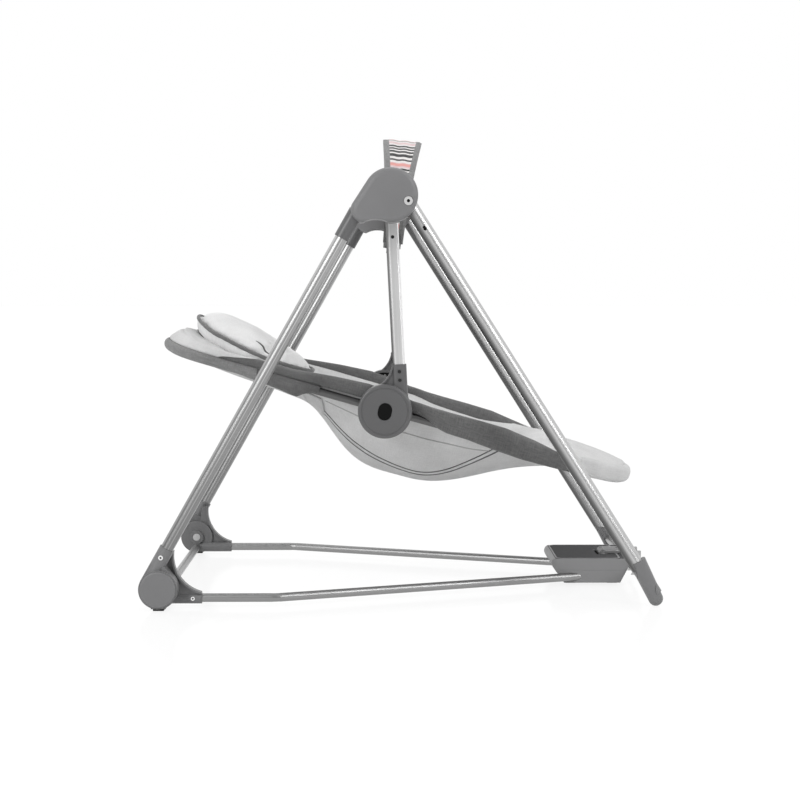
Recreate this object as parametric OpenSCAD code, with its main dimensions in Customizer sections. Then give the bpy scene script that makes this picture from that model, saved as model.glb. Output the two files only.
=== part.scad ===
// Folding baby swing cradle: an A-frame of round tube, two swing arms and an oval fabric seat.
// Millimetres. X runs towards the foot end, Y to the left side of the child, Z up from the floor.

/* [A-frame] */
// Distance between the axes of the two front legs
leg_spacing = 556; // [520:1:620]
// Front foot hub centre, along the frame
foot_x = -364; // [-380:1:-340]
// Lean of the front legs from upright
front_lean = 29.5; // [28:0.5:31]
// Lean of the rear legs from upright
rear_lean = 32.4; // [31:0.1:33]
// Rear leg fold bolt, along the frame
bolt_x = 8; // [4:1:12]
// Rear leg fold bolt, above the floor
bolt_z = 607; // [590:1:630]
// Distance between the axes of the two rear legs
rear_spacing = 496; // [490:1:500]
// Front leg tube diameter
front_leg_d = 19; // [17:0.5:20]
// Rear leg tube diameter
rear_leg_d = 22; // [19:0.5:22]
// Wall of the leg tubes
leg_wall = 1.5; // [1:0.1:2.5]
// Wall of the plastic sockets round the tubes
socket_wall = 1.7; // [1.2:0.1:2]

/* [Feet] */
// Radius of the round front foot hub
hub_r = 29; // [27:0.5:31]
// Rubber pad height below the hub
pad_h = 3.5; // [2.5:0.5:5]
// Front leg axis, behind the hub centre
leg_offset = 18.5; // [17:0.5:19]
// Front foot hub width across the frame
hub_w = 29.5; // [28:0.5:32]
// Rear foot cap length
cap_len = 64; // [55:1:70]
// Rear foot cap radius at its rounded tip
cap_tip_r = 11.2; // [10:0.2:12]
// Rear foot cap radius at its mouth
cap_mouth_r = 13; // [12.5:0.1:14]

/* [Base loop] */
// Base and cross tube diameter
base_tube_d = 13; // [12:0.5:14]
// Base tube wall
base_wall = 1.2; // [0.8:0.1:2]
// Height of the base tube axes above the floor
base_z = 14.5; // [13:0.5:16]
// Where the base tubes bend inwards
bend_x = -190; // [-230:1:-150]
// Bend radius of the base tubes
bend_r = 40; // [30:1:60]
// Rear cross tube axis, behind the box's rear wall
box_reach = 5.2; // [4:0.1:8]
// Base box length up to its rear wall
box_len = 127; // [120:1:130]
// Base box width
box_w = 148; // [130:1:160]
// Base box top above the floor
box_top = 44; // [42:1:50]
// Base box underside above the floor
box_bottom = 5; // [3:1:7]
// Rear cross tube diameter
cross_d = 14; // [13:0.5:15]
// Rear cross tube height
cross_z = 30; // [28:0.5:31]

/* [Top housings] */
// Radius of the round part about the swing axle
housing_r = 40.5; // [38:0.5:43]
// Radius of the lobe over the front leg
lobe_r = 19; // [17:0.5:21]
// Depth of the outer shell across the frame
shell_w = 35; // [32:0.5:40]
// Housing wall
shell_wall = 3; // [2.5:0.1:3.5]
// Round-over of the outer shell's edge
shell_round = 9; // [6:0.5:11]
// Fold bolt diameter
bolt_d = 8; // [6:0.5:9]
// Swing axle diameter
axle_d = 12; // [10:0.5:13]

/* [Swing arms] */
// Swing axle, along the frame
swing_x = -18; // [-20:1:-16]
// Swing axle above the floor
swing_z = 616; // [600:1:630]
// Distance between the centres of the two arms
arm_spacing = 432; // [430:1:434]
// Arm tube width, seen from the side
arm_w = 19; // [17:0.5:21]
// Arm tube thickness, across the frame
arm_t = 10; // [9:0.5:11]
// Arm tube wall
arm_wall = 1.4; // [1:0.1:2]
// Lean of the arms, feet end forward
arm_lean = 2.9; // [2:0.1:4]
// Swing axle down to the recline hub
hub_drop = 322; // [310:1:335]
// Recline hub radius
recline_r = 41; // [39:0.5:43]
// Recline hub width across the frame
recline_w = 29; // [27:0.5:30]
// Recline hub centre, behind the arm axis
hub_back = 25; // [22:0.5:28]

/* [Seat] */
// Tilt of the seat, head end up
seat_tilt = 15.5; // [12:0.5:19]
// Seat ring tube diameter
ring_d = 12; // [10:0.5:13]
// Seat ring length between tube axes
ring_len = 770; // [740:2:800]
// Ring centre, ahead of the recline hubs
ring_ahead = 22; // [10:1:30]
// Radius of the ring's end bows
end_bow_r = 300; // [280:5:320]
// Radius of the ring's corners
corner_r = 75; // [65:1:85]
// Height of the padded rim above the ring
rim_h = 26; // [20:1:30]
// Padded rim thickness
rim_t = 13; // [10:0.5:14]
// Depth of the seat pocket
pocket_depth = 110; // [80:1:115]
// Thickness of the pocket's padded cloth
cloth_t = 7; // [5:0.5:9]

/* [Toy bar] */
// Width of the bar's cloth at the top
bar_w = 63; // [55:1:70]
// Width of the bar's cloth at its ends
bar_end_w = 30; // [24:1:34]
// Rise of the arch above its clips
bar_rise = 170.5; // [160:1:180]
// Thickness of the cloth and its stay
bar_t = 4; // [3:0.5:6]
// Lean of the arch towards the foot end
bar_lean = 5.6; // [0:0.2:8]
// Clip height above the floor
bar_z = 547; // [540:1:555]

/* [Fits] */
// Gap between a pin and its running bore
run_gap = 0.05; // [0.02:0.01:0.1]
// Gap between faces that move past each other
face_gap = 0.6; // [0.4:0.1:1]

/* [Hidden] */
$fn = 64;

// Levels across the frame, measured from the middle
leg_y = leg_spacing / 2;
rear_y = rear_spacing / 2;
arm_y = arm_spacing / 2;
front_leg_r = front_leg_d / 2;
rear_leg_r = rear_leg_d / 2;
base_tube_r = base_tube_d / 2;
ring_r = ring_d / 2;
cross_r = cross_d / 2;

// Foot hub and front leg
foot_z = pad_h + hub_r;
leg_socket_r = front_leg_r + socket_wall;
hub_in_y = leg_y - leg_socket_r - 2;
hub_out_y = hub_in_y + hub_w;
leg_root_x = foot_x - leg_offset * cos(front_lean);
leg_root_z = foot_z + leg_offset * sin(front_lean);
leg_insert = 6;
leg_socket_len = 59;

// Top housing layers
shell_in_y = rear_y + rear_leg_r + face_gap + 0.8;
shell_out_y = shell_in_y + shell_w;
inner_out_y = rear_y - rear_leg_r - face_gap;
inner_w = 12;
inner_in_y = inner_out_y - inner_w;
lobe_x = swing_x - 40;
lobe_z = swing_z - 22;
leg_top_z = lobe_z - 3;
sleeve_z = leg_top_z - 38;
bolt_lobe_r = 12;
dip_r = 40;
dip_x = swing_x - 22;
dip_z = swing_z - 35.5 - dip_r;

// Base loop
base_y = hub_in_y - base_tube_r - 3.6;
knuckle_out_y = hub_in_y - face_gap;
knuckle_in_y = base_y - base_tube_r - 1.8;
knuckle_socket_r = base_tube_r + 2.2;
knuckle_end_x = foot_x + 62;
cross_x = bolt_x + (bolt_z - cross_z) * tan(rear_lean);
box_x1 = cross_x - box_reach;
box_x0 = box_x1 - box_len;
entry_x = box_x0 + 30;
entry_y = box_w / 2;
toe_in = atan2(base_y - entry_y, entry_x - bend_x);
tube_insert = 32;

// Swing arm and recline hub
arm_top = [swing_x, swing_z];
hub_x = swing_x + hub_drop * sin(arm_lean) - hub_back * cos(arm_lean);
hub_z = swing_z - hub_drop * cos(arm_lean) - hub_back * sin(arm_lean);
arm_in_y = arm_y - arm_t / 2;
recline_out_y = arm_y + arm_t / 2 + 11;
recline_in_y = recline_out_y - recline_w;
bracket_top = 252;

// Seat ring, a quarter of it in three arcs: end bow, corner, long side
seat_hub_out_y = recline_in_y - face_gap;
ring_half = seat_hub_out_y - 10.46;
side_turn = 10;
half_tan = tan(side_turn / 2);
bow_turn = asin(cos(side_turn / 2) * (ring_half - corner_r * cos(side_turn)
    - half_tan * (ring_len / 2 - end_bow_r + corner_r * sin(side_turn))) / (end_bow_r - corner_r)) - side_turn / 2;
corner_turn = 90 - bow_turn - side_turn;
side_r = (ring_len / 2 - end_bow_r * (1 - cos(bow_turn)) - corner_r * (cos(bow_turn) - sin(side_turn)))
    / sin(side_turn);
bow_cu = ring_len / 2 - end_bow_r;
corner_cu = bow_cu + (end_bow_r - corner_r) * cos(bow_turn);
corner_cy = (end_bow_r - corner_r) * sin(bow_turn);
side_cy = corner_cy - (side_r - corner_r) * cos(side_turn);
seat_hub_in_y = ring_half - ring_r - 3;

// Cloth sleeve on the ring, and the rim that stands on it
sleeve_t = 2.5;
rim_base = ring_r + sleeve_t + 0.4;

// Toy bar arch, seen along the frame
bar_half = arm_in_y - 3;
arch_r = (bar_half * bar_half + bar_rise * bar_rise) / (2 * bar_rise);
bar_x = swing_x + (swing_z - bar_z) * tan(arm_lean);
lens_r = (pow(bar_half, 2) + pow((bar_w - bar_end_w) / 2, 2)) / (bar_w - bar_end_w);

// Small parts
rivet_r = 2.2;
rivet_head_r = 3.6;

// Side helper: +1 keeps the left side, -1 mirrors it to the right
module on_side(s) mirror([0, s < 0 ? 1 : 0, 0]) children();

// A cylinder along Y from y0 to y1
module y_rod(x, z, y0, y1, r) translate([x, y1, z]) rotate([90, 0, 0]) cylinder(h = y1 - y0, r = r);

// An X-Z outline made solid from y0 to y1
module y_slab(y0, y1) translate([0, y1, 0]) rotate([90, 0, 0]) linear_extrude(y1 - y0) children();

// The front leg's own frame: Z along the leg, origin beside the hub centre
module on_front_leg() translate([leg_root_x, leg_y, leg_root_z]) rotate([0, front_lean, 0]) children();

// The rear leg's own frame: Z up the leg from the fold bolt
module on_rear_leg() translate([bolt_x, rear_y, bolt_z]) rotate([0, -rear_lean, 0]) children();

// The arm's own frame: Z up the arm from the swing axle
module on_arm() translate([swing_x, arm_y, swing_z]) rotate([0, -arm_lean, 0]) children();

// The seat's own frame: X towards the foot end in the ring's plane, origin between the recline hubs
module on_seat() translate([hub_x, 0, hub_z]) rotate([0, seat_tilt, 0]) children();

function leg_reach(z) = (z - leg_root_z) / cos(front_lean);

// Front legs
module front_leg(s) color("silver") on_side(s) on_front_leg() difference() {
    translate([0, 0, leg_insert]) cylinder(h = leg_reach(leg_top_z) - leg_insert, r = front_leg_r);
    translate([0, 0, leg_insert - 1])
        cylinder(h = leg_reach(leg_top_z) - leg_insert + 2, r = front_leg_r - leg_wall);
}

// Foot hub: a drum, the socket that holds the front leg and a boss for the rubber pad
module foot_hub(s) color("gray") on_side(s) difference() {
    union() {
        y_rod(foot_x, foot_z, hub_in_y, hub_out_y - 3, hub_r);
        on_front_leg() translate([0, 0, -4]) cylinder(h = leg_socket_len + 4, r = leg_socket_r);
        y_slab(hub_in_y, leg_y + 8) hub_shoulder();
        translate([foot_x - 11, hub_in_y + 4, pad_h - 0.5]) cube([22, hub_w - 11, 9]);
    }
    on_front_leg() translate([0, 0, leg_insert]) cylinder(h = leg_socket_len, r = front_leg_r);
    y_rod(foot_x, foot_z, hub_in_y - 1, hub_out_y - 12, bolt_d / 2);
    y_rod(foot_x, foot_z, hub_out_y - 10, hub_out_y, 9);
    translate([foot_x - 8, hub_in_y + 6, pad_h - 2]) cube([16, hub_w - 15, 5]);
}

// The web between drum and leg socket
module hub_shoulder() polygon([
    [foot_x, foot_z],
    [foot_x - hub_r * cos(front_lean), foot_z + hub_r * sin(front_lean)],
    [leg_root_x - (leg_socket_r - 1) * cos(front_lean) + 30 * sin(front_lean),
        leg_root_z + (leg_socket_r - 1) * sin(front_lean) + 30 * cos(front_lean)],
    [leg_root_x + (leg_socket_r - 1) * cos(front_lean) + 34 * sin(front_lean),
        leg_root_z - (leg_socket_r - 1) * sin(front_lean) + 34 * cos(front_lean)],
    [foot_x + hub_r * sin(front_lean + 10), foot_z + hub_r * cos(front_lean + 10)]
]);

// Flat round covers over the hub bolts, with a rolled edge
module hub_covers() color("gray") for (s = [-1, 1]) on_side(s)
    translate([foot_x, hub_out_y, foot_z]) rotate([90, 0, 0]) rotate_extrude() difference() {
        union() {
            square([hub_r - 4, 3]);
            translate([0, 2]) square([hub_r - 2, 1]);
            translate([hub_r - 4, 2]) circle(r = 2);
            translate([0, 3]) square([8.8, 4]);
        }
        translate([-5, -5]) square([5, 14]);
        translate([0, 3]) square([5, 5]);
        translate([hub_r - 6, 3]) square([6, 3]);
    }

// Rubber pads under the hubs
module foot_pads() color("black") for (s = [-1, 1]) on_side(s)
    translate([foot_x - 8, hub_in_y + 6, 0]) cube([16, hub_w - 15, pad_h + 3]);

// Pivot bolts of the base loop, with a round head on the inner side
module hub_bolts() color("dimgray") for (s = [-1, 1]) on_side(s) {
    y_rod(foot_x, foot_z, knuckle_in_y + 4, hub_out_y - 12, bolt_d / 2);
    y_rod(foot_x, foot_z, knuckle_in_y + 0.5, knuckle_in_y + 4, 6.5);
}

// Bean outline of the top housings, grown or shrunk by d
module housing_outline(d = 0) difference() {
    union() {
        translate([swing_x, swing_z]) circle(r = housing_r + d);
        translate([lobe_x, lobe_z]) circle(r = lobe_r + d);
        translate([bolt_x, bolt_z]) circle(r = bolt_lobe_r + d);
        translate([bolt_x, bolt_z]) rotate(atan2(swing_z - bolt_z, swing_x - bolt_x))
            translate([0, 1 - bolt_lobe_r - d])
            square([norm([swing_x - bolt_x, swing_z - bolt_z]), 2 * (bolt_lobe_r - 1 + d)]);
        polygon(tangent_band(d));
    }
    translate([dip_x, dip_z]) circle(r = dip_r - d);
}

// Corners of the band between the two circles' common tangents
function tangent_band(d) = let (
        dx = lobe_x - swing_x, dz = lobe_z - swing_z, gap = sqrt(dx * dx + dz * dz),
        along = atan2(dz, dx), open = acos((housing_r - lobe_r) / gap)
    ) [
        for (p = [[swing_x, swing_z, housing_r + d, open], [lobe_x, lobe_z, lobe_r + d, open],
                  [lobe_x, lobe_z, lobe_r + d, -open], [swing_x, swing_z, housing_r + d, -open]])
            [p[0] + p[2] * cos(along + p[3]), p[1] + p[2] * sin(along + p[3])]
    ];

// Outer shell: a bean-shaped cap with a rolled edge, open towards the legs
module housing_outer(s) color("gray") on_side(s) difference() {
    hull() for (k = [0:4], c = [[swing_x, swing_z, housing_r], [lobe_x, lobe_z, lobe_r],
            [bolt_x, bolt_z, bolt_lobe_r]])
        y_rod(c[0], c[1],
            k == 0 ? shell_in_y : shell_out_y - shell_round + shell_round * sin(22.5 * k) - 0.2,
            shell_out_y - shell_round + shell_round * sin(22.5 * k),
            c[2] - shell_round * (1 - cos(22.5 * k)));
    y_rod(dip_x, dip_z, shell_in_y - 1, shell_out_y + 1, dip_r);
    y_slab(shell_in_y - 1, shell_out_y - shell_round) housing_outline(-shell_wall);
    y_slab(shell_in_y - 1, shell_out_y - shell_wall) housing_outline(-shell_round);
    on_front_leg() translate([0, 0, leg_reach(sleeve_z) - 5])
        cylinder(h = leg_reach(leg_top_z) - leg_reach(sleeve_z) + 8, r = leg_socket_r + 0.3);
    y_rod(bolt_x, bolt_z, shell_out_y - 8, shell_out_y + 1, bolt_d / 2);
    y_rod(bolt_x, bolt_z, shell_out_y - 2, shell_out_y + 1, 7);
}

// Core inside the shell: the front leg's sleeve, a web plate and the bosses of bolt and axle
web_out_y = leg_y - leg_socket_r + 1.2;
module housing_core(s) color("dimgray") on_side(s) difference() {
    union() {
        on_front_leg() translate([0, 0, leg_reach(sleeve_z)])
            cylinder(h = leg_reach(leg_top_z + 2) - leg_reach(sleeve_z), r = leg_socket_r);
        y_slab(shell_in_y + 0.2, web_out_y) housing_outline(-shell_wall - 0.5);
        y_slab(shell_in_y + 0.2, web_out_y) hull() {
            translate([bolt_x, bolt_z]) circle(r = 7.5);
            translate([swing_x, swing_z]) circle(r = 7.5);
        }
        y_rod(bolt_x, bolt_z, shell_in_y + 0.2, shell_out_y - shell_round - 0.3, 7.5);
        y_rod(swing_x, swing_z, shell_in_y + 0.2, shell_in_y + 14, 11);
        for (a = [20:70:160]) core_rib(a);
    }
    on_front_leg() translate([0, 0, leg_reach(sleeve_z) - 5])
        cylinder(h = leg_reach(leg_top_z) - leg_reach(sleeve_z) + 5, r = front_leg_r);
    y_rod(bolt_x, bolt_z, shell_in_y - 1, shell_out_y, bolt_d / 2);
    y_rod(swing_x, swing_z, shell_in_y - 1, shell_in_y + 10, axle_d / 2 + run_gap);
}

// A stiffening rib of the core, from the axle boss out to the shell wall
module core_rib(a) translate([swing_x, 0, swing_z]) rotate([0, -a, 0])
    translate([8, shell_in_y + 4, -1]) cube([housing_r - shell_wall - 10.5, 12, 2]);

// Inner shell: bearing plate beside the arm, with a wall that closes the top of the gap
module housing_inner(s) color("gray") on_side(s) difference() {
    union() {
        y_slab(inner_in_y, inner_out_y) housing_outline(-0.5);
        y_slab(inner_out_y - 1, shell_in_y - 0.2) intersection() {
            difference() {
                housing_outline(-0.5);
                housing_outline(-3.5);
            }
            translate([swing_x - 90, swing_z + 8]) square([110, 60]);
        }
    }
    y_slab(inner_in_y + 3, inner_out_y - 3) difference() {
        housing_outline(-4);
        translate([swing_x, swing_z]) circle(r = 14);
        translate([bolt_x, bolt_z]) circle(r = 10);
        translate([swing_x - 32, swing_z - 14]) circle(r = 7);
    }
    y_rod(swing_x, swing_z, inner_in_y - 1, inner_out_y + 1, axle_d / 2 + 2.5);
    y_rod(bolt_x, bolt_z, inner_in_y - 1, inner_out_y + 1, bolt_d / 2);
    y_rod(bolt_x, bolt_z, inner_in_y - 1, inner_in_y + 4, 7);
}

// Flanged bushes that carry the swing axles in the inner shells
module swing_bushes() color("white") for (s = [-1, 1]) on_side(s) difference() {
    union() {
        y_rod(swing_x, swing_z, inner_in_y, inner_out_y, axle_d / 2 + 2.5);
        y_rod(swing_x, swing_z, inner_in_y - 1, inner_in_y, axle_d / 2 + 5);
    }
    y_rod(swing_x, swing_z, inner_in_y - 2, inner_out_y + 1, axle_d / 2 + run_gap);
}

// Fold bolts with a domed head in the shell's recess and a nut inside
module fold_bolts() color("lightgray") for (s = [-1, 1]) on_side(s) {
    y_rod(bolt_x, bolt_z, inner_in_y + 1, shell_out_y - 1, bolt_d / 2);
    difference() {
        y_rod(bolt_x, bolt_z, shell_out_y - 2, shell_out_y - 0.2, 6.5);
        y_rod(bolt_x, bolt_z, shell_out_y - 1, shell_out_y + 1, 2.5);
    }
    translate([bolt_x, inner_in_y + 4, bolt_z]) rotate([90, 0, 0]) cylinder(h = 4, r = 6.6, $fn = 6);
}

// Hollow rivets: front legs in their hub sockets
module frame_rivets() color("silver") for (s = [-1, 1]) on_side(s) on_front_leg()
    translate([-1, leg_socket_r - 0.4, 44]) rotate([-90, 0, 0]) difference() {
        cylinder(h = 1.4, r = rivet_head_r);
        translate([0, 0, -1]) cylinder(h = 4, r = rivet_r - 0.7);
    }

// Rear legs with a cross bore for the fold bolt
module rear_leg(s) color("silver") on_side(s) difference() {
    on_rear_leg() translate([0, 0, -leg_len()]) cylinder(h = leg_len() + 12, r = rear_leg_r);
    on_rear_leg() translate([0, 0, -leg_len() - 1]) cylinder(h = leg_len() + 14, r = rear_leg_r - leg_wall);
    y_rod(bolt_x, bolt_z, rear_y - rear_leg_r - 1, rear_y + rear_leg_r + 1, bolt_d / 2 + 2);
    on_rear_leg() translate([0, rear_leg_r - 4, -44]) rotate([-90, 0, 0]) cylinder(h = 6, r = 2.2);
    y_rod(cross_x, cross_z, rear_y - rear_leg_r - 1, rear_y, cross_r - 1.5);
}

function leg_len() = (bolt_z - cross_z + 12) / cos(rear_lean);

// Bushes through the rear legs that turn on the fold bolts
module fold_bushes() color("white") for (s = [-1, 1]) on_side(s) difference() {
    y_rod(bolt_x, bolt_z, rear_y - rear_leg_r, rear_y + rear_leg_r, bolt_d / 2 + 2);
    y_rod(bolt_x, bolt_z, rear_y - rear_leg_r - 1, rear_y + rear_leg_r + 1, bolt_d / 2 + run_gap);
}

// Rear foot caps: tapered, steeper than the leg, round at the tip and open on the inner side
cap_lean = 26.5;
cap_tip_x = cross_x + 8.5;
module rear_foot_cap(s) color("gray") on_side(s) difference() {
    union() {
        translate([cap_tip_x, rear_y, cap_tip_r]) rotate([0, -cap_lean, 0])
            cylinder(h = cap_len, r1 = cap_tip_r, r2 = cap_mouth_r);
        translate([cap_tip_x, rear_y, cap_tip_r]) sphere(r = cap_tip_r);
    }
    on_rear_leg() translate([0, 0, -leg_len()]) cylinder(h = leg_len(), r = rear_leg_r);
    translate([cap_tip_x - 90, rear_y - 30, cross_z - 10]) cube([120, 30 - rear_leg_r + 2.5, 90]);
}

// Rear cross tube with necked ends that plug into the legs
module rear_cross_tube() color("silver") {
    difference() {
        y_rod(cross_x, cross_z, -rear_y + rear_leg_r + 0.3, rear_y - rear_leg_r - 0.3, cross_r);
        y_rod(cross_x, cross_z, -rear_y + rear_leg_r + 12, rear_y - rear_leg_r - 12, cross_r - base_wall);
    }
    for (s = [-1, 1]) on_side(s)
        y_rod(cross_x, cross_z, rear_y - rear_leg_r - 1, rear_y - rear_leg_r + 6, cross_r - 1.5);
}

// Base knuckle: turns on the hub bolt, holds the cross tube and the base tube
module base_knuckle(s) color("dimgray") on_side(s) difference() {
    union() {
        y_rod(foot_x, foot_z, base_y - 3, knuckle_out_y, hub_r - 1);
        translate([foot_x + 6, base_y, base_z]) rotate([0, 90, 0])
            cylinder(h = knuckle_end_x - foot_x - 6, r = knuckle_socket_r);
        y_rod(foot_x, base_z, knuckle_in_y, knuckle_out_y - 2, base_tube_r + 2.6);
        y_rod(foot_x, foot_z, knuckle_in_y, knuckle_out_y, 12);
        y_slab(knuckle_out_y - 8, knuckle_out_y - 4) knuckle_web();
        y_slab(knuckle_out_y - 13, knuckle_out_y) intersection() {
            knuckle_web();
            translate(web_c()) circle(r = web_r + 3);
        }
    }
    translate([foot_x + 14, base_y, base_z]) rotate([0, 90, 0]) cylinder(h = 80, r = base_tube_r);
    y_rod(foot_x, base_z, knuckle_in_y - 1, base_y - 1.5, base_tube_r);
    y_rod(foot_x, foot_z, knuckle_in_y - 1, knuckle_out_y + 1, bolt_d / 2 + run_gap);
    y_rod(foot_x, foot_z, knuckle_in_y - 1, knuckle_in_y + 4.3, 7);
}

// Web between the knuckle's hub and its base socket, with a hollow curved edge
web_r = 55.7;
function web_c() = [foot_x + 76, foot_z + 45.5];
module knuckle_web() difference() {
    polygon([[foot_x, base_z], [foot_x + 9, foot_z + 54], [foot_x + 21, foot_z + 54],
        [knuckle_end_x, foot_z + 2], [knuckle_end_x, base_z]]);
    translate(web_c()) circle(r = web_r);
}

// Cross tube between the two knuckles
module front_cross_tube() color("silver") difference() {
    y_rod(foot_x, base_z, -base_y + 1.5, base_y - 1.5, base_tube_r);
    y_rod(foot_x, base_z, -base_y, base_y, base_tube_r - base_wall);
}

// Base tube path: straight from the knuckle, a bend a hair thinner, then straight into the box
seam = 0.15;
lap = 0.6;
bend_lap = 2;
module base_tube_path(r) {
    setback = bend_r * tan(toe_in / 2);
    translate([foot_x + 14, base_y, base_z]) rotate([0, 90, 0])
        cylinder(h = bend_x - setback - foot_x - 14 + bend_lap, r = r);
    translate([bend_x - setback, base_y - bend_r, base_z]) rotate([0, 0, 90 - toe_in])
        rotate_extrude(angle = toe_in, $fn = 180) translate([bend_r, 0]) circle(r = r - seam, $fn = 48);
    translate([bend_x + setback * cos(toe_in), base_y - setback * sin(toe_in), base_z])
        rotate([0, 90, -toe_in]) translate([0, 0, -bend_lap])
        cylinder(h = (entry_x - bend_x) / cos(toe_in) - setback + tube_insert + bend_lap, r = r);
}

module base_tube(s) color("silver") on_side(s) difference() {
    base_tube_path(base_tube_r);
    base_tube_path(base_tube_r - base_wall);
}

// Side profile of the box: sloped front, rounded top edge, rear end cut clear of the cross tube
box_nose = 20;
jaw_gap = 0.7;
jaw_slope = 27.7;
lip_end = cross_x + cross_r + 2;
module box_profile(d = 0) difference() {
    union() {
        polygon([[box_x0 + 6 + d, box_top - d], [box_x0 + d, box_top - 8], [box_x0 + 2 + d, box_top - 14],
            [box_x0 + box_nose + d, box_bottom + d], [box_x1 - d, box_bottom + d], [box_x1 - d, box_top - d]]);
        translate([box_x0 + 8 + d, box_top - 8 - d]) circle(r = 8);
        if (d == 0) translate([box_x1 - 5, box_top - 6]) square([lip_end - box_x1 + 5, 6]);
    }
    translate([cross_x, cross_z]) circle(r = cross_r + jaw_gap + 0.4);
    translate([cross_x, cross_z]) rotate(-jaw_slope)
        translate([-cross_r - jaw_gap - d, -60]) square([2 * cross_r + 20 + 2 * d, 60]);
}

// Plan of the box: a rounded rectangle
module box_plan(d = 0) {
    r = 16;
    x0 = box_x0 - 2 + d;
    x1 = lip_end + 2 - d;
    for (j = [-1, 1]) {
        translate([x0 + r, j * (box_w / 2 - r - d)]) circle(r = r);
        translate([x1 - 6, j * (box_w / 2 - 6 - d)]) circle(r = 6);
    }
    translate([x0 + r, -box_w / 2 + d]) square([x1 - 6 - x0 - r, box_w - 2 * d]);
    translate([x0, -box_w / 2 + r + d]) square([r + 1, box_w - 2 * r - 2 * d]);
    translate([x1 - 7, -box_w / 2 + 6 + d]) square([7, box_w - 12 - 2 * d]);
}

module box_body(d, z0, z1) intersection() {
    y_slab(-box_w, box_w) box_profile(d);
    translate([0, 0, z0]) linear_extrude(z1 - z0) box_plan(d);
}

box_split = 25;
latch_back = 42.2;
latch_x = cross_x - latch_back;
latch_z = box_top - 1;
latch_half = 20;

// Lower tray: holds the base tubes
module base_box_tray() color("gray") difference() {
    box_body(0, 0, box_split);
    for (s = [-1, 1]) on_side(s) base_tube_path(base_tube_r);
    translate([box_x0 + 62, -box_w / 2 + 34, box_bottom + 4]) cube([34, box_w - 68, box_split]);
}

// Upper cover with the latch pocket
module base_box_cover() color("gray") difference() {
    box_body(0, box_split, box_top + 1);
    box_body(3, box_split - 1, box_top - 3);
    translate([latch_x - 12, -latch_half - 5, box_top - 8]) cube([60, 2 * latch_half + 10, 20]);
    y_rod(latch_x, latch_z, -latch_half - 9, latch_half + 9, 2.5);
}

// Small runners under the box
module base_box_feet() color("dimgray") for (s = [-1, 1], x = [box_x0 + 24, box_x1 - 36])
    translate([x, s * (box_w / 2 - 22) - 6, box_bottom - 3]) cube([16, 12, 3]);

// Pin of the latch lever
module latch_pin() color("silver") y_rod(latch_x, latch_z, -latch_half - 9, latch_half + 9, 2.5);

// Latch lever: a thumb plate that reaches over the rear cross tube
module latch_lever() color("dimgray") difference() {
    union() {
        y_rod(latch_x, latch_z, -latch_half, latch_half, 7);
        y_slab(-latch_half + 2, latch_half - 2) difference() {
            union() {
                translate([latch_x, latch_z + 2]) square([cross_x - latch_x + 12, 4.5]);
                translate([cross_x + 12, latch_z + 4.25]) circle(r = 2.25);
            }
            translate([latch_x + 26, latch_z + 12]) circle(r = 7);
        }
    }
    y_rod(latch_x, latch_z, -latch_half - 1, latch_half + 1, 2.5 + run_gap);
}

// Steel hooks either side of the lever that reach round behind the cross tube
hook_r = latch_back + cross_r + 6.8;
hook_w = 5;
module hook_outline() difference() {
    union() {
        translate([latch_x, latch_z]) circle(r = 6);
        translate([latch_x, latch_z + 1.6]) square([hook_r + 4, 4.4]);
        intersection() {
            translate([latch_x, latch_z]) difference() {
                circle(r = hook_r + hook_w);
                circle(r = hook_r);
            }
            polygon([[latch_x, latch_z + 6], [latch_x + 80, latch_z + 6], [latch_x + 80, 9], [cross_x + 3, 9]]);
        }
    }
    translate([latch_x, latch_z]) circle(r = 2.5 + run_gap);
}
module latch_hooks() color("silver") for (s = [-1, 1])
    y_slab(s > 0 ? latch_half + 0.5 : -latch_half - 3.5, s > 0 ? latch_half + 3.5 : -latch_half - 0.5)
        hook_outline();

// Hollow rivets: base tubes in their knuckles
module base_rivets() color("silver") for (s = [-1, 1]) on_side(s)
    translate([knuckle_end_x - 13, base_y + knuckle_socket_r - 0.4, base_z]) rotate([-90, 0, 0]) difference() {
        cylinder(h = 0.9, r = rivet_head_r - 0.6);
        translate([0, 0, -1]) cylinder(h = 4, r = rivet_r - 0.9);
    }

// Swing axles: turn in the housings, with a thrust collar beside the arm
module swing_axle(s) color("silver") on_side(s) {
    y_rod(swing_x, swing_z, arm_in_y, shell_in_y + 9, axle_d / 2);
    y_rod(swing_x, swing_z, inner_in_y - 2.4, inner_in_y - 1.2, 12);
    y_rod(swing_x, swing_z, arm_in_y - 1.4, arm_in_y + 0.8, 10);
}

// Arm hangers: an eye on the axle and a tongue inside the arm tube
hanger_out_y = inner_in_y - 2.9;
hanger_in_y = arm_in_y + arm_wall - 0.3;
module arm_hanger(s) color("dimgray") on_side(s) difference() {
    union() {
        y_rod(swing_x, swing_z, hanger_in_y, hanger_out_y, 19);
        on_arm() translate([0, 0, -78]) linear_extrude(60) oval(arm_w - 2 * arm_wall, arm_t - 2 * arm_wall);
        on_arm() translate([-arm_w / 2, hanger_in_y - arm_y, -31])
            cube([arm_w, hanger_out_y - hanger_in_y, 31]);
    }
    y_rod(swing_x, swing_z, hanger_in_y - 1, hanger_out_y + 1, axle_d / 2 + run_gap);
}

// Flat oval section of the arm tubes
module oval(w, t) {
    for (i = [-1, 1]) translate([i * (w - t) / 2, 0]) circle(r = t / 2);
    square([w - t, t], center = true);
}

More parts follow.
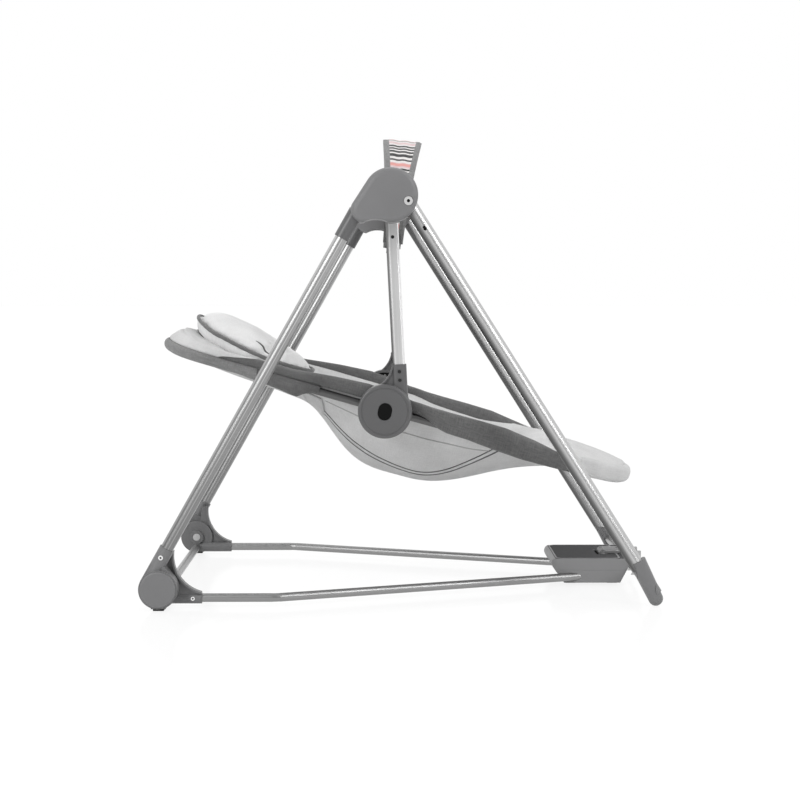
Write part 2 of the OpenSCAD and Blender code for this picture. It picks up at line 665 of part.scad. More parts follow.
// Arm tubes
arm_tube_len = bracket_top + 32 - 32;
module arm_tube(s) color("silver") on_side(s) on_arm() difference() {
    translate([0, 0, -bracket_top - 34]) linear_extrude(bracket_top + 34 - 31.5) oval(arm_w, arm_t);
    translate([0, 0, -bracket_top - 35]) linear_extrude(bracket_top + 36) oval(arm_w - 2 * arm_wall, arm_t - 2 * arm_wall);
}

// Recline housing: arm socket, curved web and the drum that holds the lock disc and button
drum_wall = 3.5;
cavity_r = recline_r - 4.5;
module recline_housing(s) color("dimgray") on_side(s) difference() {
    union() {
        translate([hub_x, recline_in_y, hub_z]) rotate([-90, 0, 0]) rotate_extrude() difference() {
            union() {
                square([recline_r - 3, recline_w]);
                square([recline_r, recline_w - 3]);
                translate([recline_r - 3, recline_w - 3]) circle(r = 3);
            }
            translate([-9, -1]) square([9, recline_w + 2]);
            translate([recline_r - 7, recline_w - 0.6]) square([2, 2]);
        }
        on_arm() translate([0, 0, -hub_drop + 6]) linear_extrude(hub_drop - bracket_top - 6)
            oval(arm_w + 2 * socket_wall, arm_t + 2 * socket_wall);
        y_slab(arm_y - 3, arm_y + 3) bracket_web();
        y_slab(arm_y - 6, arm_y + 6) intersection() {
            bracket_web();
            translate(bracket_c()) circle(r = bracket_r + 2.5);
        }
    }
    on_arm() translate([0, 0, -bracket_top - 34]) linear_extrude(60) oval(arm_w, arm_t);
    y_rod(hub_x, hub_z, recline_in_y - 1, recline_out_y - drum_wall, cavity_r);
    y_slab(recline_out_y - 10, recline_out_y + 1) button_outline(run_gap + 0.25);
}

// Web between socket and drum, hollow curved on the head side
bracket_r = 46;
function bracket_c() = [hub_x - 34.5, hub_z + 77];
module bracket_web() difference() {
    polygon([[hub_x, hub_z], [hub_x - recline_r + 12, hub_z + 28], [hub_x + 10, hub_z + 72],
        [hub_x + 26, hub_z + 72], [hub_x + recline_r - 1.5, hub_z]]);
    translate(bracket_c()) circle(r = bracket_r);
}

// Rivets through the arm tubes: one at the hanger, two at the recline housing
module arm_rivets() color("lightgray") for (s = [-1, 1], z = [-60, -bracket_top - 11, -bracket_top - 24])
    on_side(s) on_arm() translate([0, arm_t / 2 + (z < -100 ? socket_wall : 0) - 0.3, z])
        rotate([-90, 0, 0]) difference() {
            cylinder(h = 1.2, r = rivet_r + 0.4);
            translate([0, 0, 0.6]) cylinder(h = 1, r = 1.1);
        }

// Oval button outline, leaning as on the hub
button_w = 20;
button_l = 25.5;
button_lean = -11;
module button_outline(d = 0) translate([hub_x, hub_z]) rotate(button_lean) {
    for (j = [-1, 1]) translate([0, j * (button_l - button_w) / 2]) circle(r = button_w / 2 + d);
    square([button_w + 2 * d, button_l - button_w], center = true);
}

// Button: an oval cap and a stem that presses the lock disc's spring seat
button_travel = 5;
button_proud = 1;
module recline_button(s) color("black") on_side(s) {
    y_slab(recline_out_y - drum_wall - 3, recline_out_y + button_proud) button_outline(-0.2);
    y_slab(recline_out_y - drum_wall - 3, recline_out_y - drum_wall - 0.4) button_outline(2.5);
}

// Lock disc: a ring of ratchet teeth inside the drum, keyed to the seat hub's core
teeth = 24;
disc_r = cavity_r - 3.2;
module lock_disc(s) color("silver") on_side(s)
    y_slab(recline_in_y + 3, recline_in_y + 9) difference() {
        union() {
            translate([hub_x, hub_z]) circle(r = disc_r - 3);
            for (i = [0:teeth - 1]) translate([hub_x, hub_z]) rotate(i * 360 / teeth)
                polygon([[disc_r - 4, -3], [disc_r, -1.2], [disc_r, 1.2], [disc_r - 4, 2.2]]);
        }
        translate([hub_x, hub_z]) circle(r = 8 + run_gap);
    }

// Return springs behind the buttons
spring_turns = 4;
module lock_springs() color("silver") for (s = [-1, 1]) on_side(s)
    translate([hub_x, recline_in_y + 9.4, hub_z]) rotate([-90, 0, 0]) coil(6, 0.9, 12.6, spring_turns);

// A helical spring: rings of points along a rising circle, with flat ends
coil_steps = 14;
coil_sides = 6;
module coil(r, wire, h, turns) {
    n = turns * coil_steps;
    pts = [for (i = [0:n], k = [0:coil_sides - 1]) let (
            a = 360 * i / coil_steps, b = 360 * k / coil_sides,
            z = wire + (h - 2 * wire) * i / n, q = r + wire * cos(b)
        ) [q * cos(a), q * sin(a), z + wire * sin(b)]];
    faces = concat(
        [[for (k = [0:coil_sides - 1]) k]],
        [[for (k = [coil_sides - 1:-1:0]) n * coil_sides + k]],
        [for (i = [0:n - 1], k = [0:coil_sides - 1], t = [0, 1]) let (
                a = i * coil_sides + k, b = i * coil_sides + (k + 1) % coil_sides
            ) t == 0 ? [a, a + coil_sides, b] : [b, a + coil_sides, b + coil_sides]]
    );
    polyhedron(points = pts, faces = faces);
}

// Seat hub, notched over the ring for the padded rim: a disc with sockets for the ring tubes and a core that enters the drum
module seat_hub(s) color("dimgray") on_side(s) difference() {
    union() {
        y_rod(hub_x, hub_z, seat_hub_in_y, seat_hub_out_y, 30);
        y_rod(hub_x, hub_z, seat_hub_out_y - 1, recline_in_y + 9, 8);
        on_seat() translate([-36, ring_half - 0.3, 0]) rotate([0, 90, 0]) cylinder(h = 72, r = ring_r + 2);
    }
    on_seat() ring_side(1, ring_r, side_angle(60), side_angle(-60));
    on_seat() translate([-60, seat_hub_in_y - 1, rim_base - 0.3])
        cube([120, ring_half + rim_t / 2 + 0.5 - seat_hub_in_y + 1, rim_h + 20]);
}

// One end of the ring, i = 1 at the foot: a bow and two corners a hair thinner, r the section's radius
module ring_end(i, r) translate([ring_ahead, 0, 0]) mirror([i < 0 ? 1 : 0, 0, 0]) {
    arc_bar(bow_cu, 0, end_bow_r, -bow_turn, bow_turn, r);
    for (j = [-1, 1]) mirror([0, j < 0 ? 1 : 0, 0]) {
        arc_bar(corner_cu, corner_cy, corner_r, bow_turn, 90 - side_turn, r - seam, 0);
    }
}

// A long side of the ring between two turning angles, j = 1 on the left
module ring_side(j, r, a0, a1) translate([ring_ahead, 0, 0]) mirror([0, j < 0 ? 1 : 0, 0])
    arc_bar(0, side_cy, side_r, a0, a1, r);

// A bent bar of round section, lengthened by a small lap at both ends
module arc_bar(cx, cy, bend, a0, a1, r, over = lap) {
    extra = over / bend * 180 / PI;
    translate([cx, cy, 0]) rotate(a0 - extra) rotate_extrude(angle = a1 - a0 + 2 * extra, $fn = 360)
        translate([bend, 0]) circle(r = r, $fn = 40);
}

// Turning angle of the long side at a place along the seat
function side_angle(u) = acos((u - ring_ahead) / side_r);

// The two bows of the seat ring, each ending inside the seat hubs
module ring_bow(i, r, u) {
    ring_end(i, r);
    for (j = [-1, 1]) ring_side(j, r, i > 0 ? 90 - side_turn : side_angle(u), i > 0 ? side_angle(u) : 90 + side_turn);
}
module seat_tube(i) color("silver") on_seat() difference() {
    ring_bow(i, ring_r, i * 2);
    ring_bow(i, ring_r - base_wall, i * 1);
}

// Cloth sleeves round the ring, cut back beside the hubs
sleeve_start = [-100, 74];
module tube_sleeves() color("dimgray") on_seat() for (i = [0, 1]) difference() {
    ring_bow(i == 0 ? -1 : 1, ring_r + sleeve_t, sleeve_start[i]);
    ring_bow(i == 0 ? -1 : 1, ring_r, sleeve_start[i] + (i == 0 ? 3 : -3));
}

// Points of the ring's axis by turning angle, 0 at the foot end
function quarter_point(a) =
    a <= bow_turn ? [bow_cu + end_bow_r * cos(a), end_bow_r * sin(a)] :
    a <= 90 - side_turn ? [corner_cu + corner_r * cos(a), corner_cy + corner_r * sin(a)] :
    [side_r * cos(a), side_cy + side_r * sin(a)];
function ring_point(a) = let (
        m = a % 180, q = m <= 90 ? m : 180 - m, p = quarter_point(q),
        su = (a > 90 && a < 270) ? -1 : 1, sy = a > 180 ? -1 : 1
    ) [ring_ahead + su * p[0], sy * p[1]];

// Turning angles that space the sections evenly round the ring
rim_steps_end = 4;
rim_steps_corner = 4;
rim_steps_side = 8;
function quarter_angles() = concat(
    [for (i = [0:rim_steps_end - 1]) bow_turn * i / rim_steps_end],
    [for (i = [0:rim_steps_corner - 1]) bow_turn + corner_turn * i / rim_steps_corner],
    [for (i = [0:rim_steps_side]) 90 - side_turn + side_turn * i / rim_steps_side]
);
function ring_angles() = let (q = quarter_angles(), n = len(q)) concat(
    q,
    [for (i = [n - 2:-1:0]) 180 - q[i]],
    [for (i = [1:n - 1]) 180 + q[i]],
    [for (i = [n - 2:-1:1]) 360 - q[i]]
);

// Rim height above the ring, lower towards both ends
function ease(t) = let (c = min(1, max(0, t))) c * c * (3 - 2 * c);
function rim_top(u) = rim_h - (rim_h - 14) * ease((u - 110) / 220);

// Padded rim: an upright roll of cloth standing on the ring's sleeve
module seat_rim() color("dimgray") on_seat() {
    angles = ring_angles();
    n = len(angles);
    pts = [for (i = [0:n - 1], k = [0:7]) let (
            a = angles[i], p = ring_point(a), m = a % 180,
            out = [cos(a), sin(a)],
            h = rim_top(p[0]) - rim_base, b = 22.5 + 45 * k,
            w = rim_t / 2 * cos(b) / cos(22.5), v = rim_base + h / 2 + h / 2 * sin(b) / cos(22.5)
        ) [p[0] + out[0] * w, p[1] + out[1] * w, v]];
    ring_skin(pts, n, 8);
}

// Closed ring of sections, k points each
module ring_skin(pts, n, k) polyhedron(points = pts, faces = [
    for (i = [0:n - 1], j = [0:k - 1], t = [0, 1]) let (
        a = i * k + j, b = i * k + (j + 1) % k,
        c = ((i + 1) % n) * k + j, d = ((i + 1) % n) * k + (j + 1) % k
    ) t == 0 ? [a, c, b] : [b, c, d]]);

// Depth of the pocket's underside below the ring along the middle
pocket_low_u = 62;
pocket_head_reach = 144;
pocket_foot_reach = 148;
function pocket_mid(u) = 26 * (1 - pow(min(1, abs(u - ring_ahead) / (ring_len / 2)), 4))
    + (pocket_depth - 26) * (u < pocket_low_u ? exp(-pow((pocket_low_u - u) / pocket_head_reach, 3.9))
        : exp(-pow((u - pocket_low_u) / pocket_foot_reach, 2.27)));

// Pocket: rings of points from the rim in to a middle point, upper face above lower face
pocket_rings = 9;
pocket_inset = rim_t / 2 + 4;
function pocket_point(a, f, lift) = let (
        p = ring_point(a), c = [pocket_low_u, 0],
        e = [p[0] - pocket_inset * cos(a), p[1] - pocket_inset * sin(a)],
        u = c[0] + f * (e[0] - c[0]), y = c[1] + f * (e[1] - c[1]),
        fall = 1 - pow(f, 3.2), tuck = 3 * sin(6 * a) * f * (1 - f),
        under = -2 - (pocket_mid(u) - 2) * fall + tuck
    ) [u, y, under + lift + (lift > 0 ? swell(u, under + lift, f) : 0)];

// Rise of the upper cloth at the ends, where it is a low cushion: raised at the head, flatter at the foot
head_level = 13;
head_crown = 14;
foot_level = 19;
function swell(u, base, f) = let (
        head_end = ring_ahead - ring_len / 2, foot_end = ring_ahead + ring_len / 2,
        head = ease((head_end + 148 - u) / 75), foot = ease((u - foot_end + 227) / 85),
        crown = head_crown * exp(-pow(max(0, u - head_end - 18) / 45, 2)),
        level = u < 0 ? head_level + crown : foot_level - 4 * ease((u - foot_end + 140) / 70)
    ) (head + foot) * (level - base) * (1 - pow(f, 24));
module seat_pocket() color("lightgray") on_seat() {
    angles = [for (i = [0:2:len(ring_angles()) - 1]) ring_angles()[i]];
    n = len(angles);
    m = pocket_rings;
    side = [for (g = [0, 1], r = [0:m - 1], i = [0:n - 1])
        pocket_point(angles[i], 1 - pow(r / m, 1.25), g == 0 ? 0 : cloth_t)];
    ends = [for (g = [0, 1]) pocket_point(0, 0, g == 0 ? 0 : cloth_t)];
    faces = concat(
        [for (g = [0, 1], r = [0:m - 2], i = [0:n - 1], t = [0, 1]) let (
                b = g * m * n, j = (i + 1) % n,
                p = b + r * n + i, q = b + r * n + j, s = p + n, w = q + n
            ) g == 0 ? (t == 0 ? [p, q, s] : [q, w, s]) : (t == 0 ? [p, s, q] : [q, s, w])],
        [for (g = [0, 1], i = [0:n - 1]) let (
                b = g * m * n + (m - 1) * n, p = b + i, q = b + (i + 1) % n, c = 2 * m * n + g
            ) g == 0 ? [p, q, c] : [q, p, c]],
        [for (i = [0:n - 1], t = [0, 1]) let (j = (i + 1) % n, o = m * n)
            t == 0 ? [i, i + o, j] : [j, i + o, j + o]]
    );
    polyhedron(points = concat(side, ends), faces = faces);
}

// Head pillow: a crowned cushion, raised at the head end, with its edge seam as the widest line
pillow_back = 134;
pillow_u = ring_ahead - ring_len / 2 + pillow_back;
pillow_len = 212;
pillow_w = 230;
pillow_crown = 25;
pillow_drop = 24;
pillow_rise = 0.18;
pillow_lift = 31;
module head_pillow() color("white") on_seat() {
    n = 32;
    m = 5;
    side = [for (g = [0, 1], r = [0:m - 1], i = [0:n - 1]) pillow_point(360 * i / n, 1 - r / m, g)];
    faces = concat(
        [for (g = [0, 1], r = [0:m - 2], i = [0:n - 1], t = [0, 1]) let (
                b = g * m * n, j = (i + 1) % n,
                p = b + r * n + i, q = b + r * n + j, s = p + n, w = q + n
            ) g == 0 ? (t == 0 ? [p, q, s] : [q, w, s]) : (t == 0 ? [p, s, q] : [q, s, w])],
        [for (g = [0, 1], i = [0:n - 1]) let (
                b = g * m * n + (m - 1) * n, p = b + i, q = b + (i + 1) % n, c = 2 * m * n + g
            ) g == 0 ? [p, q, c] : [q, p, c]],
        [for (i = [0:n - 1], t = [0, 1]) let (j = (i + 1) % n, o = m * n)
            t == 0 ? [i, i + o, j] : [j, i + o, j + o]]
    );
    polyhedron(points = concat(side, [for (g = [0, 1]) pillow_point(0, 0, g)]), faces = faces);
}
function pillow_point(a, f, g) = let (
        u = pillow_u + pillow_len / 2 * f * cos(a) * (1 - 0.08 * pow(sin(a), 2)),
        y = pillow_w / 2 * f * sin(a), rise = pillow_lift + pillow_rise * (pillow_u - u),
        bulge = sqrt(1 - f * f)
    ) [u, y, rise + (g == 0 ? -pillow_drop * bulge - 1.5 : pillow_crown * bulge + 1.5)];

// Toy bar: an arched strip of cloth over a stay, widest at the top
module on_bar() translate([bar_x, 0, bar_z]) rotate([0, bar_lean, 0]) children();
module bar_arch(d, $fn = 720)
    rotate([90, 0, 90]) translate([0, 0, -bar_w]) linear_extrude(2 * bar_w) difference() {
        translate([0, bar_rise - arch_r]) circle(r = arch_r + d);
        translate([0, bar_rise - arch_r]) circle(r = arch_r - bar_t - d);
        translate([-2 * arch_r, -3 * arch_r - d]) square([4 * arch_r, 3 * arch_r]);
    }
module toy_bar_band($fn = 720) color("gray") on_bar() intersection() {
    bar_arch(0);
    linear_extrude(2 * bar_rise) intersection() {
        translate([lens_r - bar_w / 2, 0]) circle(r = lens_r);
        translate([-lens_r + bar_w / 2, 0]) circle(r = lens_r);
    }
}

// Snap clips on the arms, slotted for the bar's ends
module toy_bar_clips() color("dimgray") for (s = [-1, 1]) on_side(s) difference() {
    union() {
        on_bar() translate([-9, bar_half - bar_t - 7, -9]) cube([18, bar_t + 8.5, 23]);
        y_rod(bar_x, bar_z, bar_half - 1, arm_in_y - 0.5, 8);
    }
    on_bar() bar_arch(0.15);
}

front_leg(-1);  // front_leg_right
front_leg(1);  // front_leg_left
foot_hub(-1);  // foot_hub_right
foot_hub(1);  // foot_hub_left
hub_covers();
foot_pads();
hub_bolts();
housing_outer(-1);  // housing_outer_right
housing_outer(1);  // housing_outer_left
housing_core(-1);  // housing_core_right
housing_core(1);  // housing_core_left
housing_inner(-1);  // housing_inner_right
housing_inner(1);  // housing_inner_left
swing_bushes();
fold_bolts();
frame_rivets();
rear_leg(-1);  // rear_leg_right
rear_leg(1);  // rear_leg_left
rear_foot_cap(-1);  // rear_foot_cap_right
rear_foot_cap(1);  // rear_foot_cap_left
rear_cross_tube();
fold_bushes();
base_knuckle(-1);  // base_knuckle_right
base_knuckle(1);  // base_knuckle_left
front_cross_tube();
base_tube(-1);  // base_tube_right
base_tube(1);  // base_tube_left
base_box_tray();
base_box_cover();
base_box_feet();
latch_pin();
base_rivets();
latch_lever();
latch_hooks();
swing_axle(-1);  // swing_axle_right
swing_axle(1);  // swing_axle_left
arm_hanger(-1);  // arm_hanger_right
arm_hanger(1);  // arm_hanger_left
arm_tube(-1);  // arm_tube_right
arm_tube(1);  // arm_tube_left
recline_housing(-1);  // recline_housing_right
recline_housing(1);  // recline_housing_left
arm_rivets();
lock_disc(-1);  // lock_disc_right
lock_disc(1);  // lock_disc_left
lock_springs();
recline_button(-1);  // recline_button_right
recline_button(1);  // recline_button_left
seat_hub(-1);  // seat_hub_right
seat_hub(1);  // seat_hub_left
seat_tube(-1);  // seat_tube_head
seat_tube(1);  // seat_tube_foot
tube_sleeves();
seat_rim();
seat_pocket();
head_pillow();
toy_bar_band();
toy_bar_clips();
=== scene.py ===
import math

import bmesh
import bpy
import numpy as np
from mathutils import Matrix, Vector, noise
from mathutils.bvhtree import BVHTree


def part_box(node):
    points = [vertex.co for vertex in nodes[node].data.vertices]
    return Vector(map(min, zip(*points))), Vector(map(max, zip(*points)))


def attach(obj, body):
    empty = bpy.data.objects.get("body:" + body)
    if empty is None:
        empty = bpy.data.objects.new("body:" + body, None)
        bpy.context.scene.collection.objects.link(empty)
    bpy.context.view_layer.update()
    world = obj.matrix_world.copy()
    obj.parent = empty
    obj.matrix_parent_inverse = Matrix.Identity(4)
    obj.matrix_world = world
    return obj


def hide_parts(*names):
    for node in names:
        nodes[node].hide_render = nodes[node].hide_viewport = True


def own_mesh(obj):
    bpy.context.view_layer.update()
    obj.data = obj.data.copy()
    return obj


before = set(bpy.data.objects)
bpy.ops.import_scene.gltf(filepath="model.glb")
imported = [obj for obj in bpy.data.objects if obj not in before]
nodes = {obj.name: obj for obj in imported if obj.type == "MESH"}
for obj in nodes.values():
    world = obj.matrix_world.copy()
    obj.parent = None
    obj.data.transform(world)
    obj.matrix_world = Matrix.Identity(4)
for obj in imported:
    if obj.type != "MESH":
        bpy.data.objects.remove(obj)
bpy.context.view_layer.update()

# Camera
# It stands about 2.9 m off the near side, a little above the seat, and looks slightly down.
# The lens comes from the spacing of the near and far legs.
bpy.ops.object.select_all(action="DESELECT")
camera_place, looks_down, looks_aside = (-0.0265, -2.870, 0.490), 3.883, -0.4914
bpy.ops.object.camera_add(
    location=camera_place, rotation=(math.radians(90 - looks_down), 0, math.radians(looks_aside))
)
camera = bpy.context.active_object
camera.data.sensor_width = 36
camera.data.lens = 78.9
bpy.context.scene.camera = camera
bpy.context.scene.view_settings.view_transform = "Standard"

# Studio
# A white sweep lit by a pale dome and three soft boxes; the side behind the camera is darker,
# so that the round tubes show bright and dark bands.


def feed(tree, node, inputs):
    """Gives a node's inputs, by name or number, a value or another node's output."""
    for name, value in inputs.items():
        if isinstance(value, bpy.types.NodeSocket):
            tree.links.new(value, node.inputs[name])
        else:
            node.inputs[name].default_value = value
    return node


def add(tree, kind, inputs=None):
    return feed(tree, tree.nodes.new(f"ShaderNode{kind}"), inputs or {})


def maths(tree, kind, first, second=None):
    """A maths node's result; each input is a number or an output socket."""
    node = tree.nodes.new("ShaderNodeMath")
    node.operation = kind
    return feed(tree, node, {0: first} if second is None else {0: first, 1: second}).outputs[0]


def ranged(tree, value, from_low, from_high, low=0.0, high=1.0, kind="LINEAR"):
    """A value carried over from one range to another."""
    node = tree.nodes.new("ShaderNodeMapRange")
    node.interpolation_type = kind
    feed(tree, node, {"Value": value, "From Min": from_low, "From Max": from_high, "To Min": low, "To Max": high})
    return node.outputs["Result"]


def new_material(name):
    """An empty node material and its tree."""
    material = bpy.data.materials.new(name)
    material.use_nodes = True
    material.node_tree.nodes.clear()
    return material, material.node_tree


world = bpy.data.worlds.new("studio")
world.use_nodes = True
bpy.context.scene.world = world
tree = world.node_tree
tree.nodes.clear()
direction = add(tree, "SeparateXYZ", {"Vector": add(tree, "TexCoord").outputs["Generated"]})
sweep = ranged(tree, direction.outputs["Y"], -0.75, 0.15, 0.30, 1.0, "SMOOTHSTEP")
path = add(tree, "LightPath")
seen = maths(tree, "MAXIMUM", path.outputs["Is Camera Ray"], path.outputs["Is Transmission Ray"])
strength = add(tree, "Mix", {0: seen, 2: sweep, 3: 1.0}).outputs[0]
background = add(tree, "Background", {"Color": (1, 1, 1, 1), "Strength": strength})
add(tree, "OutputWorld", {"Surface": background.outputs[0]})

floor_white, floor_rough, floor_glow, floor_share = 0.80, 0.13, 1.06, 0.80
floor_material, tree = new_material("white_floor")
satin = add(tree, "BsdfPrincipled", {
    "Base Color": (floor_white, floor_white, floor_white, 1), "Roughness": floor_rough, "Specular IOR Level": 0.5,
})
glow = add(tree, "Emission", {"Strength": floor_glow})
path = add(tree, "LightPath")
either = maths(tree, "MAXIMUM", path.outputs["Is Camera Ray"], path.outputs["Is Glossy Ray"])
share = maths(tree, "MULTIPLY", either, floor_share)
mix = add(tree, "MixShader", {"Fac": share, 1: satin.outputs[0], 2: glow.outputs[0]})
add(tree, "OutputMaterial", {"Surface": mix.outputs[0]})
bpy.ops.mesh.primitive_plane_add(size=60, location=(0, 0, 0))
floor = bpy.context.active_object
floor.name = "floor"
floor.data.materials.append(floor_material)


def soft_box(name, place, aim, size, power):
    """A square area lamp at a place, turned to a point."""
    lamp = bpy.data.lights.new(name, "AREA")
    lamp.shape = "RECTANGLE"
    lamp.size, lamp.size_y = size
    lamp.energy = power
    holder = bpy.data.objects.new(name, lamp)
    bpy.context.scene.collection.objects.link(holder)
    holder.location = place
    holder.rotation_euler = (Vector(aim) - Vector(place)).to_track_quat("-Z", "Y").to_euler()


soft_box("key", (-1.9, -2.6, 1.7), (0, 0, 0.35), (1.0, 1.6), 50)
soft_box("fill", (2.1, -2.0, 1.8), (0, 0, 0.35), (0.7, 1.6), 34)
soft_box("top", (0.2, 0.3, 2.8), (0, 0, 0.3), (1.8, 1.8), 9)

# Moulded grey plastic
# Housings, foot hubs and caps are one mid-grey nylon with a fine spark-eroded grain. The box is a
# lighter copy of it, painted light for the light on its sides; the knuckles, cores and hangers are
# darker ones, and the upward faces of the box's top are a darker copy, painted shade on the top, and
# matt so that it doesn't mirror the studio.


def new_group(name, wants, gives):
    """A shader group with float inputs (name, value) and named outputs; returns its tree and ends."""
    group = bpy.data.node_groups.new(name, "ShaderNodeTree")
    for title, value in wants:
        socket = group.interface.new_socket(title, in_out="INPUT", socket_type="NodeSocketFloat")
        socket.default_value = value
    for title in gives:
        group.interface.new_socket(title, in_out="OUTPUT", socket_type="NodeSocketFloat")
    return group, group.nodes.new("NodeGroupInput"), group.nodes.new("NodeGroupOutput")


grain_group, ends_in, ends_out = new_group(
    "moulded_grain", [("Size", 700.0), ("Cloud Size", 9.0)], ["Height", "Cloud"]
)
where = add(grain_group, "TexCoord").outputs["Object"]
for scale, detail, result in (("Size", 3, "Height"), ("Cloud Size", 4, "Cloud")):
    speck = add(grain_group, "TexNoise", {"Vector": where, "Scale": ends_in.outputs[scale], "Detail": detail})
    feed(grain_group, ends_out, {result: speck.outputs[0]})


def uneven(tree, speckle, low, high):
    """A noise, which lies between 0.3 and 0.7, spread between two numbers."""
    return ranged(tree, speckle, 0.3, 0.7, low, high)


def mixed(tree, factor, first, second, blend="MIX"):
    """Two colours mixed by a factor."""
    node = tree.nodes.new("ShaderNodeMix")
    node.data_type, node.blend_type = "RGBA", blend
    return feed(tree, node, {0: factor, 6: first, 7: second}).outputs[2]


def grey_of(tree, value):
    """The grey with this value."""
    return add(tree, "CombineColor", {"Red": value, "Green": value, "Blue": value}).outputs[0]


def use_group(tree, group, inputs=None):
    node = tree.nodes.new("ShaderNodeGroup")
    node.node_tree = group
    return feed(tree, node, inputs or {})


def shade_with(tree, inputs):
    """Ends a material in one principled shader."""
    shader = add(tree, "BsdfPrincipled", inputs)
    add(tree, "OutputMaterial", {"Surface": shader.outputs[0]})


def moulded(name, grey, rough, grain=0.00005, size=700.0, shine=0.5, edge=0.0011):
    """A moulded plastic: even colour with faint clouding, a fine grain, a slightly uneven gloss and
    edges that are rounded off by a small radius."""
    material, tree = new_material(name)
    group = use_group(tree, grain_group, {"Size": size})
    cloud = group.outputs["Cloud"]
    dark, light = [(*(share * c for c in grey), 1) for share in (0.93, 1.06)]
    soft_edge = add(tree, "Bevel", {"Radius": edge})
    soft_edge.samples = 6
    bump = add(tree, "Bump", {
        "Distance": grain, "Strength": 1.0, "Height": group.outputs["Height"], "Normal": soft_edge.outputs[0],
    })
    shade_with(tree, {
        "Base Color": mixed(tree, uneven(tree, cloud, 0, 1), dark, light),
        "Roughness": uneven(tree, cloud, rough - 0.04, rough + 0.05),
        "Specular IOR Level": shine,
        "Normal": bump.outputs[0],
    })
    return material


def dress(material, *names):
    """Gives CAD nodes a material in place of their plain one."""
    for name in names:
        mesh = nodes[name].data
        mesh.materials.clear()
        mesh.materials.append(material)


def pair(*names):
    """Both sides of a sub-part that comes as right and left."""
    return [f"{name}_{side}" for name in names for side in ("right", "left")]


grey_plastic = moulded("grey_moulding", (0.175, 0.175, 0.178), 0.42)
dark_plastic = moulded("dark_moulding", (0.105, 0.105, 0.107), 0.38)
hub_plastic = moulded("recline_moulding", (0.102, 0.102, 0.104), 0.36)
knuckle_plastic = moulded("knuckle_moulding", (0.160, 0.160, 0.162), 0.38)
box_plastic_painted_light = moulded("box_moulding_painted_light", (0.225, 0.225, 0.228), 0.45)
box_top_painted_shade = moulded("box_top_moulding_painted_shade", (0.080, 0.080, 0.082), 0.75, shine=0.04)
black_plastic = moulded("black_moulding", (0.003, 0.003, 0.003), 0.5, shine=0.12)
bush_plastic = moulded("bush_moulding", (0.72, 0.72, 0.70), 0.45)
dress(grey_plastic, *pair("foot_hub", "housing_outer", "housing_inner", "rear_foot_cap"))
dress(grey_plastic, "hub_covers")
dress(box_plastic_painted_light, "base_box_tray", "base_box_cover")
box_mesh = nodes["base_box_cover"].data
box_mesh.materials.append(box_top_painted_shade)
box_low, box_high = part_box("base_box_cover")
# The upward faces at the top of the box take the darker copy: painted shade on the box's top.
for face in box_mesh.polygons:
    if face.normal.z > 0.95 and face.center.z > box_high.z - 0.002:
        face.material_index = 1
dress(knuckle_plastic, *pair("base_knuckle"))
dress(dark_plastic, *pair("housing_core", "arm_hanger", "seat_hub"))
dress(dark_plastic, "latch_lever", "toy_bar_clips", "base_box_feet")
dress(hub_plastic, *pair("recline_housing"))
dress(black_plastic, *pair("recline_button"))
dress(bush_plastic, "swing_bushes", "fold_bushes")

# Box lip
# A rounded lip stands round the lid of the base box and catches the light.
lip_wide, lip_tall, lip_sunk, lip_corner = 0.0024, 0.0016, 0.0008, 0.012
lid_low = Vector((box_low.x + 0.007, box_low.y + 0.001))
lid_high = Vector((box_high.x - 0.030, box_high.y - 0.001))
bpy.ops.object.select_all(action="DESELECT")
bpy.ops.mesh.primitive_plane_add(size=1)
lip = bpy.context.active_object
lip.name = "box_lip"
bpy.ops.object.mode_set(mode="EDIT")
bpy.ops.mesh.select_all(action="SELECT")
bpy.ops.transform.resize(value=(lid_high.x - lid_low.x, lid_high.y - lid_low.y, 1))
bpy.ops.transform.translate(value=(*((lid_low + lid_high) / 2), box_high.z - lip_sunk))
bpy.ops.mesh.bevel(offset=lip_corner, segments=8, affect="VERTICES")
bpy.ops.mesh.inset(thickness=lip_wide)
bpy.ops.mesh.delete(type="FACE")
bpy.ops.mesh.select_all(action="SELECT")
bpy.ops.mesh.extrude_region_move(TRANSFORM_OT_translate={"value": (0, 0, lip_tall)})
bpy.ops.mesh.select_all(action="SELECT")
bpy.ops.mesh.normals_make_consistent(inside=False)
bpy.ops.object.mode_set(mode="OBJECT")
round_edge = lip.modifiers.new("round_edge", "BEVEL")
round_edge.width = 0.0007
round_edge.segments = 3
round_edge.limit_method = "ANGLE"
round_edge.angle_limit = math.radians(40)
bpy.ops.object.modifier_apply(modifier=round_edge.name)
bpy.ops.object.shade_smooth_by_angle(angle=math.radians(40))
lip.data.materials.append(box_plastic_painted_light)
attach(lip, "base")

# Rubber pads
# Two soft black pads press into the foot hubs and carry the front of the frame.
rubber = moulded("pad_rubber", (0.012, 0.012, 0.012), 0.7, 0.0001, 260)
dress(rubber, "foot_pads")
